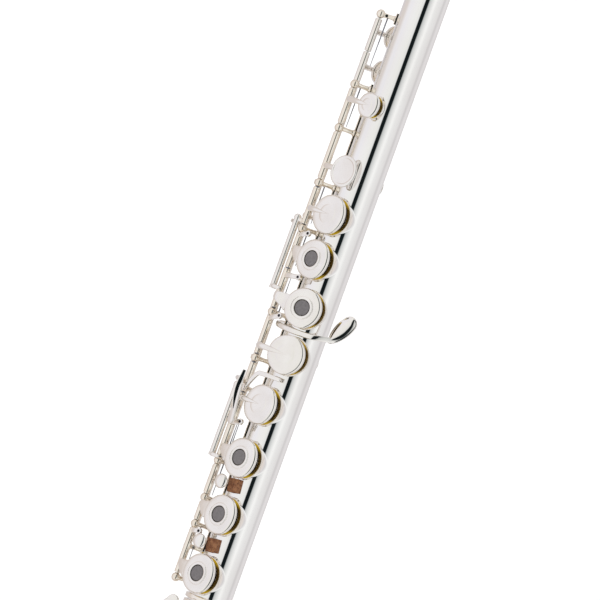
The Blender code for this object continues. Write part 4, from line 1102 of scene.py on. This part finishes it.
def make_thumb_keys():
    """Thumb B key, standing open under the tube, and the B flat lever beside it."""
    lift = swung(THUMB_LINE, -OPEN_ANGLE)
    place = station(THUMB_X, BACK_ROLL)
    above = CUP_TOP_Z + 1.1
    bm = bmesh.new()
    hinge_parts(bm, THUMB_LINE, "thumb_b")
    cup_on_arm(bm, THUMB_LINE, THUMB_X, BACK_ROLL, MEDIUM[3])
    paddle(bm, (1.0, 0.5, above), (15.0, 2.5, above), 2.2, 4.2, (0, 0, 1), 1.2, 0.1, place)
    bar(bm, place @ Vector((1.0, 0.5, CUP_TOP_Z - 0.3)), place @ Vector((1.0, 0.5, above)), 1.3, 1.3)
    stand_in("thumb_b_key", bm, place=lift)
    make_pad("thumb_b", THUMB_X, BACK_ROLL, MEDIUM[3], lift)
    lever_x = joint_place("thumb_b_flat_lever_press").x
    place = station(lever_x, BACK_ROLL)
    start = place.inverted() @ on_line(THUMB_LINE, lever_x)
    bm = bmesh.new()
    hinge_parts(bm, THUMB_LINE, "thumb_b_flat")
    sweep(bm, [(0, start.y, start.z), (0, 9.4, 15.2), (0, 6.0, 16.1)], [(1.5, 1.3), (1.4, 1.0), (1.2, 0.5)],
          place=place)
    paddle(bm, (-1.0, 4.5, 16.3), (5.4, 2.0, 16.3), 3.4, 2.6, (0, 0, 1), 1.2, 0.1, place)
    stand_in("thumb_b_flat_lever", bm)


def make_g_sharp_key():
    """G sharp cup under the tube and the lever over the tube to its leaf."""
    bm = bmesh.new()
    hinge_parts(bm, THUMB_LINE, "g_sharp")
    cup_on_arm(bm, THUMB_LINE, G_SHARP_X, BACK_ROLL, MEDIUM[3])
    path = [on_line(THUMB_LINE, 391.4), polar(-98.0, 14.6, 391.4), polar(-75.0, 13.8, 391.6),
            polar(-50.0, 14.0, 392.0), polar(-25.0, 14.4, 392.6), polar(0.0, 14.5, 393.0),
            polar(25.0, 14.8, 393.0), polar(48.0, 16.6, 392.6), Vector((391.0, 18.9, 5.2))]
    sizes = [(1.5, 1.3), (1.35, 1.1), (1.3, 0.95)] + [(1.3, 0.9)] * 5 + [(1.2, 0.55)]
    sweep(bm, path, sizes, shape=2.4)
    paddle(bm, (391.8, 17.4, 5.3), (381.4, 22.2, 2.4), 1.2, 3.6, (0.0, 0.24, 0.97), 1.1, 1.0, belly=1.3)
    stand_in("g_sharp_key", bm)
    make_pad("g_sharp", G_SHARP_X, BACK_ROLL, MEDIUM[3])


def make_b_flat_side_lever():
    """Side lever: a long tube low on the near side with a narrow blade over the main rod."""
    bm = bmesh.new()
    hinge_parts(bm, SIDE_LINE, "side_lever")
    sweep(bm, [on_line(SIDE_LINE, 421.6), (421.6, -21.0, 8.5), (421.8, -19.0, 12.6), (422.6, -14.2, 15.7)],
          [(1.3, 1.2), (1.1, 0.9), (1.1, 0.8), (1.1, 0.6)])
    sweep(bm, [on_line(SIDE_LINE, 345.6), (345.6, -21.4, 7.0), (345.6, -21.6, 10.9)],
          [(1.3, 1.2), (1.0, 0.8), (0.9, 0.5)])
    paddle(bm, (422.5, -13.6, 16.0), (440.6, -12.1, 16.2), 0.8, 2.2, (0, -0.35, 0.94), 0.95, 0.3)
    facing = polar(90.0 + BLADE_ROLL, 1.0)
    sweep(bm, [(417.5, -13.9, 16.6), (424.0, -14.1, 16.9), (429.5, -13.8, 17.0), (435.5, -12.4, 16.9)],
          [(0.9, 0.3), (1.35, 0.3), (1.1, 0.3), (0.4, 0.2)], across=facing, shape=4.0)
    stand_in("b_flat_side_lever", bm)


# ---------------------------------------------------------------- foot keys

def make_e_flat_key():
    """Closed E flat key with its touch on the near side of the hinge."""
    bm = bmesh.new()
    hinge_parts(bm, MAIN_LINE, "e_flat")
    cup_on_arm(bm, MAIN_LINE, E_FLAT_X, 0.0, LARGE[3])
    paddle(bm, (527.2, -12.4, 15.0), (544.6, -21.4, 14.2), 2.9, 4.8, (0, -0.08, 1.0), 1.3, 0.25)
    sweep(bm, [on_line(MAIN_LINE, 547.0), (547.0, -16.6, 12.9), (546.0, -20.4, 13.7)],
          [(1.6, 1.3), (1.4, 1.0), (1.1, 0.5)])
    stand_in("e_flat_key", bm, place=FOOT_FRAME)
    make_pad("e_flat", E_FLAT_X, 0.0, LARGE[3], FOOT_FRAME)


def make_low_keys():
    """Low C sharp key and low C key with its roller."""
    place = FOOT_FRAME @ swung(MAIN_LINE, OPEN_ANGLE)
    bm = bmesh.new()
    hinge_parts(bm, MAIN_LINE, "low_c_sharp")
    cup_on_arm(bm, MAIN_LINE, LOW_C_SHARP_X, 0.0, LARGE[3])
    paddle(bm, (556.2, -11.2, 15.3), (563.6, -11.2, 15.3), 2.5, 2.499, (0, 0, 1), 1.2, 0.2)
    sweep(bm, [on_line(MAIN_LINE, 563.0), (563.0, -13.4, 13.6), (562.6, -11.6, 14.9)],
          [(1.5, 1.3), (1.3, 1.0), (1.1, 0.5)])
    stand_in("low_c_sharp_key", bm, place=place)
    make_pad("low_c_sharp", LOW_C_SHARP_X, 0.0, LARGE[3], place)

    roller_y, roller_z, arm_z = -5.2, 15.4, 12.4
    ends = (553.6, 566.0)
    bm = bmesh.new()
    hinge_parts(bm, MAIN_LINE, "low_c")
    cup_on_arm(bm, MAIN_LINE, LOW_C_X, 0.0, LARGE[3])
    arm_x = 556.8
    sweep(bm, [on_line(MAIN_LINE, arm_x), (arm_x, -11.6, 12.3), (arm_x, -8.0, arm_z),
               (arm_x, roller_y, arm_z)], [(1.5, 1.3), (1.2, 0.9), (1.1, 0.8), (1.0, 0.7)])
    bar(bm, (ends[0], roller_y, arm_z), (ends[1], roller_y, arm_z), 0.8)
    bar(bm, (ends[0] - 0.4, roller_y, roller_z), (ends[1] + 0.4, roller_y, roller_z), 0.55)
    for x in ends:
        sweep(bm, [(x, roller_y, arm_z), (x, roller_y, 14.0), (x, roller_y, 15.6)],
              [(0.45, 0.95), (0.45, 0.95), (0.45, 0.9)], shape=3.0, steps=3)
    stand_in("low_c_key", bm, place=place)
    make_pad("low_c", LOW_C_X, 0.0, LARGE[3], place)

    half = (ends[1] - ends[0]) / 2 - 0.8
    bm = bmesh.new()
    lathe(bm, [(0.9, -half, 0.05), (1.8, -half, 0.2), (2.1, 0.5 - half, 0.3), (2.0, -half * 0.5, 2.0),
               (1.9, 0, 2.0), (2.0, half * 0.5, 2.0), (2.1, half - 0.5, 0.3), (1.8, half, 0.2),
               (0.9, half, 0.05)],
          along_x((ends[0] + ends[1]) / 2, Vector((0, roller_y, roller_z))), 40)
    stand_in("low_c_roller", bm, place=place)


# ---------------------------------------------------------------- studio and camera

CAMERA_ROLL = 34.0              # the camera looks at the flute from this roll angle
CAMERA_DISTANCE = 2500.0
PICTURE_WIDTH = 274.3           # of the picture at the flute
PICTURE_TILT = 19.95            # the tube's lean in the picture
LOOK_AT = Vector((378.7, -3.77, 8.59))
FLOOR_DROP = 90.0
FLOOR_HALF = 4.0                # metres
FLOOR_LOOK = {"Base Color": (0.9, 0.9, 0.9, 1.0), "Roughness": 0.9,
              "Emission Color": (1.0, 1.0, 1.0, 1.0), "Emission Strength": 0.45}


def make_camera():
    """Camera over the key work, rolled so that the flute leans."""
    roll, tilt = math.radians(CAMERA_ROLL), math.radians(PICTURE_TILT)
    back = Vector((0, math.sin(roll), math.cos(roll)))
    across = Vector((0, math.cos(roll), -math.sin(roll)))
    along = Vector((1, 0, 0))
    right = across * math.cos(tilt) - along * math.sin(tilt)
    up = -along * math.cos(tilt) - across * math.sin(tilt)
    data = bpy.data.cameras.new("camera")
    data.sensor_width = 36.0
    data.lens = data.sensor_width * CAMERA_DISTANCE / PICTURE_WIDTH
    data.clip_start, data.clip_end = 0.01, 50.0
    camera = bpy.data.objects.new("camera", data)
    rotation = Matrix((right, up, back)).transposed().to_4x4()
    camera.matrix_world = Matrix.Translation((LOOK_AT + back * CAMERA_DISTANCE) * MM) @ rotation
    bpy.context.scene.collection.objects.link(camera)
    bpy.context.scene.camera = camera


# roll angle of each change in the light tent round the flute, and its colour there
SURROUND = (
    (-180.0, (0.71, 0.695, 0.70)), (-140.0, (0.80, 0.77, 0.77)), (-118.0, (0.66, 0.63, 0.65)),
    (-88.0, (0.70, 0.645, 0.62)), (-70.0, (0.72, 0.665, 0.64)), (-52.0, (0.865, 0.85, 0.875)),
    (-38.0, (0.86, 0.855, 0.895)), (-25.0, (0.88, 0.87, 0.88)), (-10.0, (0.885, 0.885, 0.885)),
    (10.0, (0.88, 0.885, 0.86)), (26.2, (0.78, 0.79, 0.79)), (27.2, (0.005, 0.008, 0.009)),
    (46.2, (0.008, 0.012, 0.013)), (47.6, (0.42, 0.44, 0.44)), (52.5, (0.61, 0.625, 0.62)),
    (57.9, (0.70, 0.715, 0.71)), (63.0, (0.775, 0.785, 0.78)), (69.0, (0.85, 0.86, 0.855)),
    (74.0, (0.915, 0.92, 0.915)), (80.0, (0.96, 0.965, 0.96)), (86.0, (0.915, 0.92, 0.915)),
    (92.0, (0.865, 0.868, 0.866)), (98.0, (0.835, 0.835, 0.835)), (111.0, (0.812, 0.808, 0.808)),
    (125.0, (0.775, 0.765, 0.768)), (133.0, (0.672, 0.655, 0.663)), (141.0, (0.672, 0.655, 0.663)),
    (150.0, (0.75, 0.73, 0.74)), (161.0, (0.785, 0.765, 0.775)), (180.0, (0.71, 0.695, 0.70)),
)


def make_studio():
    """Light tent with one narrow dark band, and a pale floor that only the camera sees."""
    scene = bpy.context.scene
    scene.view_settings.view_transform = 'Standard'
    world = bpy.data.worlds.new("studio")
    scene.world = world
    world.use_nodes = True
    nodes, links = world.node_tree.nodes, world.node_tree.links
    split = nodes.new("ShaderNodeSeparateXYZ")
    links.new(nodes.new("ShaderNodeTexCoord").outputs["Generated"], split.inputs["Vector"])
    turn = nodes.new("ShaderNodeMath")
    turn.operation = 'ARCTAN2'
    links.new(split.outputs["Y"], turn.inputs[0])
    links.new(split.outputs["Z"], turn.inputs[1])
    share = remap(nodes, links, turn.outputs["Value"], (-math.pi, math.pi))
    ramp = nodes.new("ShaderNodeValToRGB")
    stops = ramp.color_ramp.elements
    while len(stops) < len(SURROUND):
        stops.new(0.5)
    for stop, (roll, colour) in zip(stops, SURROUND):
        stop.position = (roll + 180.0) / 360.0
        stop.color = (*colour, 1.0)
    links.new(share, ramp.inputs["Fac"])
    links.new(ramp.outputs["Color"], nodes["Background"].inputs["Color"])

    mesh = bpy.data.meshes.new("floor")
    height = CAD_BOUNDS[0].z - FLOOR_DROP * MM
    corners = ((-1, -1), (1, -1), (1, 1), (-1, 1))
    mesh.from_pydata([(x * FLOOR_HALF, y * FLOOR_HALF, height) for x, y in corners], [], [(0, 1, 2, 3)])
    floor = bpy.data.objects.new("floor", mesh)
    look = bpy.data.materials.new("floor_white")
    look.use_nodes = True
    shader = look.node_tree.nodes["Principled BSDF"]
    for socket, value in FLOOR_LOOK.items():
        shader.inputs[socket].default_value = value
    mesh.materials.append(look)
    scene.collection.objects.link(floor)
    floor.visible_glossy = False
    floor.visible_diffuse = False


# ---------------------------------------------------------------- build

plate_middle = sum(x_range("lip_plate")) / 2
make_head_tube(plate_middle)
make_lip_plate(plate_middle)
make_riser(plate_middle)
make_crown_and_stopper()
make_barrel()
make_body_tube()
make_foot_tube()
make_main_rib()
make_small_rib("thumb_rib", THUMB_LINE, BACK_RIB_ROLLS, BACK_FOOT_ROLL, THUMB_POSTS, "body")
make_small_rib("g_sharp_rib", THUMB_LINE, BACK_RIB_ROLLS, BACK_FOOT_ROLL, G_SHARP_POSTS, "body")
make_small_rib("foot_rib", MAIN_LINE, RIB_ROLLS, FOOT_RIB_FOOT_ROLL, FOOT_POSTS, "foot", FOOT_FRAME)
make_springs()
make_stack_keys()
make_c_sharp_key()
make_split_e_arm()
make_trill_keys()
make_trill_corks()
make_thumb_keys()
make_g_sharp_key()
make_b_flat_side_lever()
make_e_flat_key()
make_low_keys()
make_camera()
make_studio()
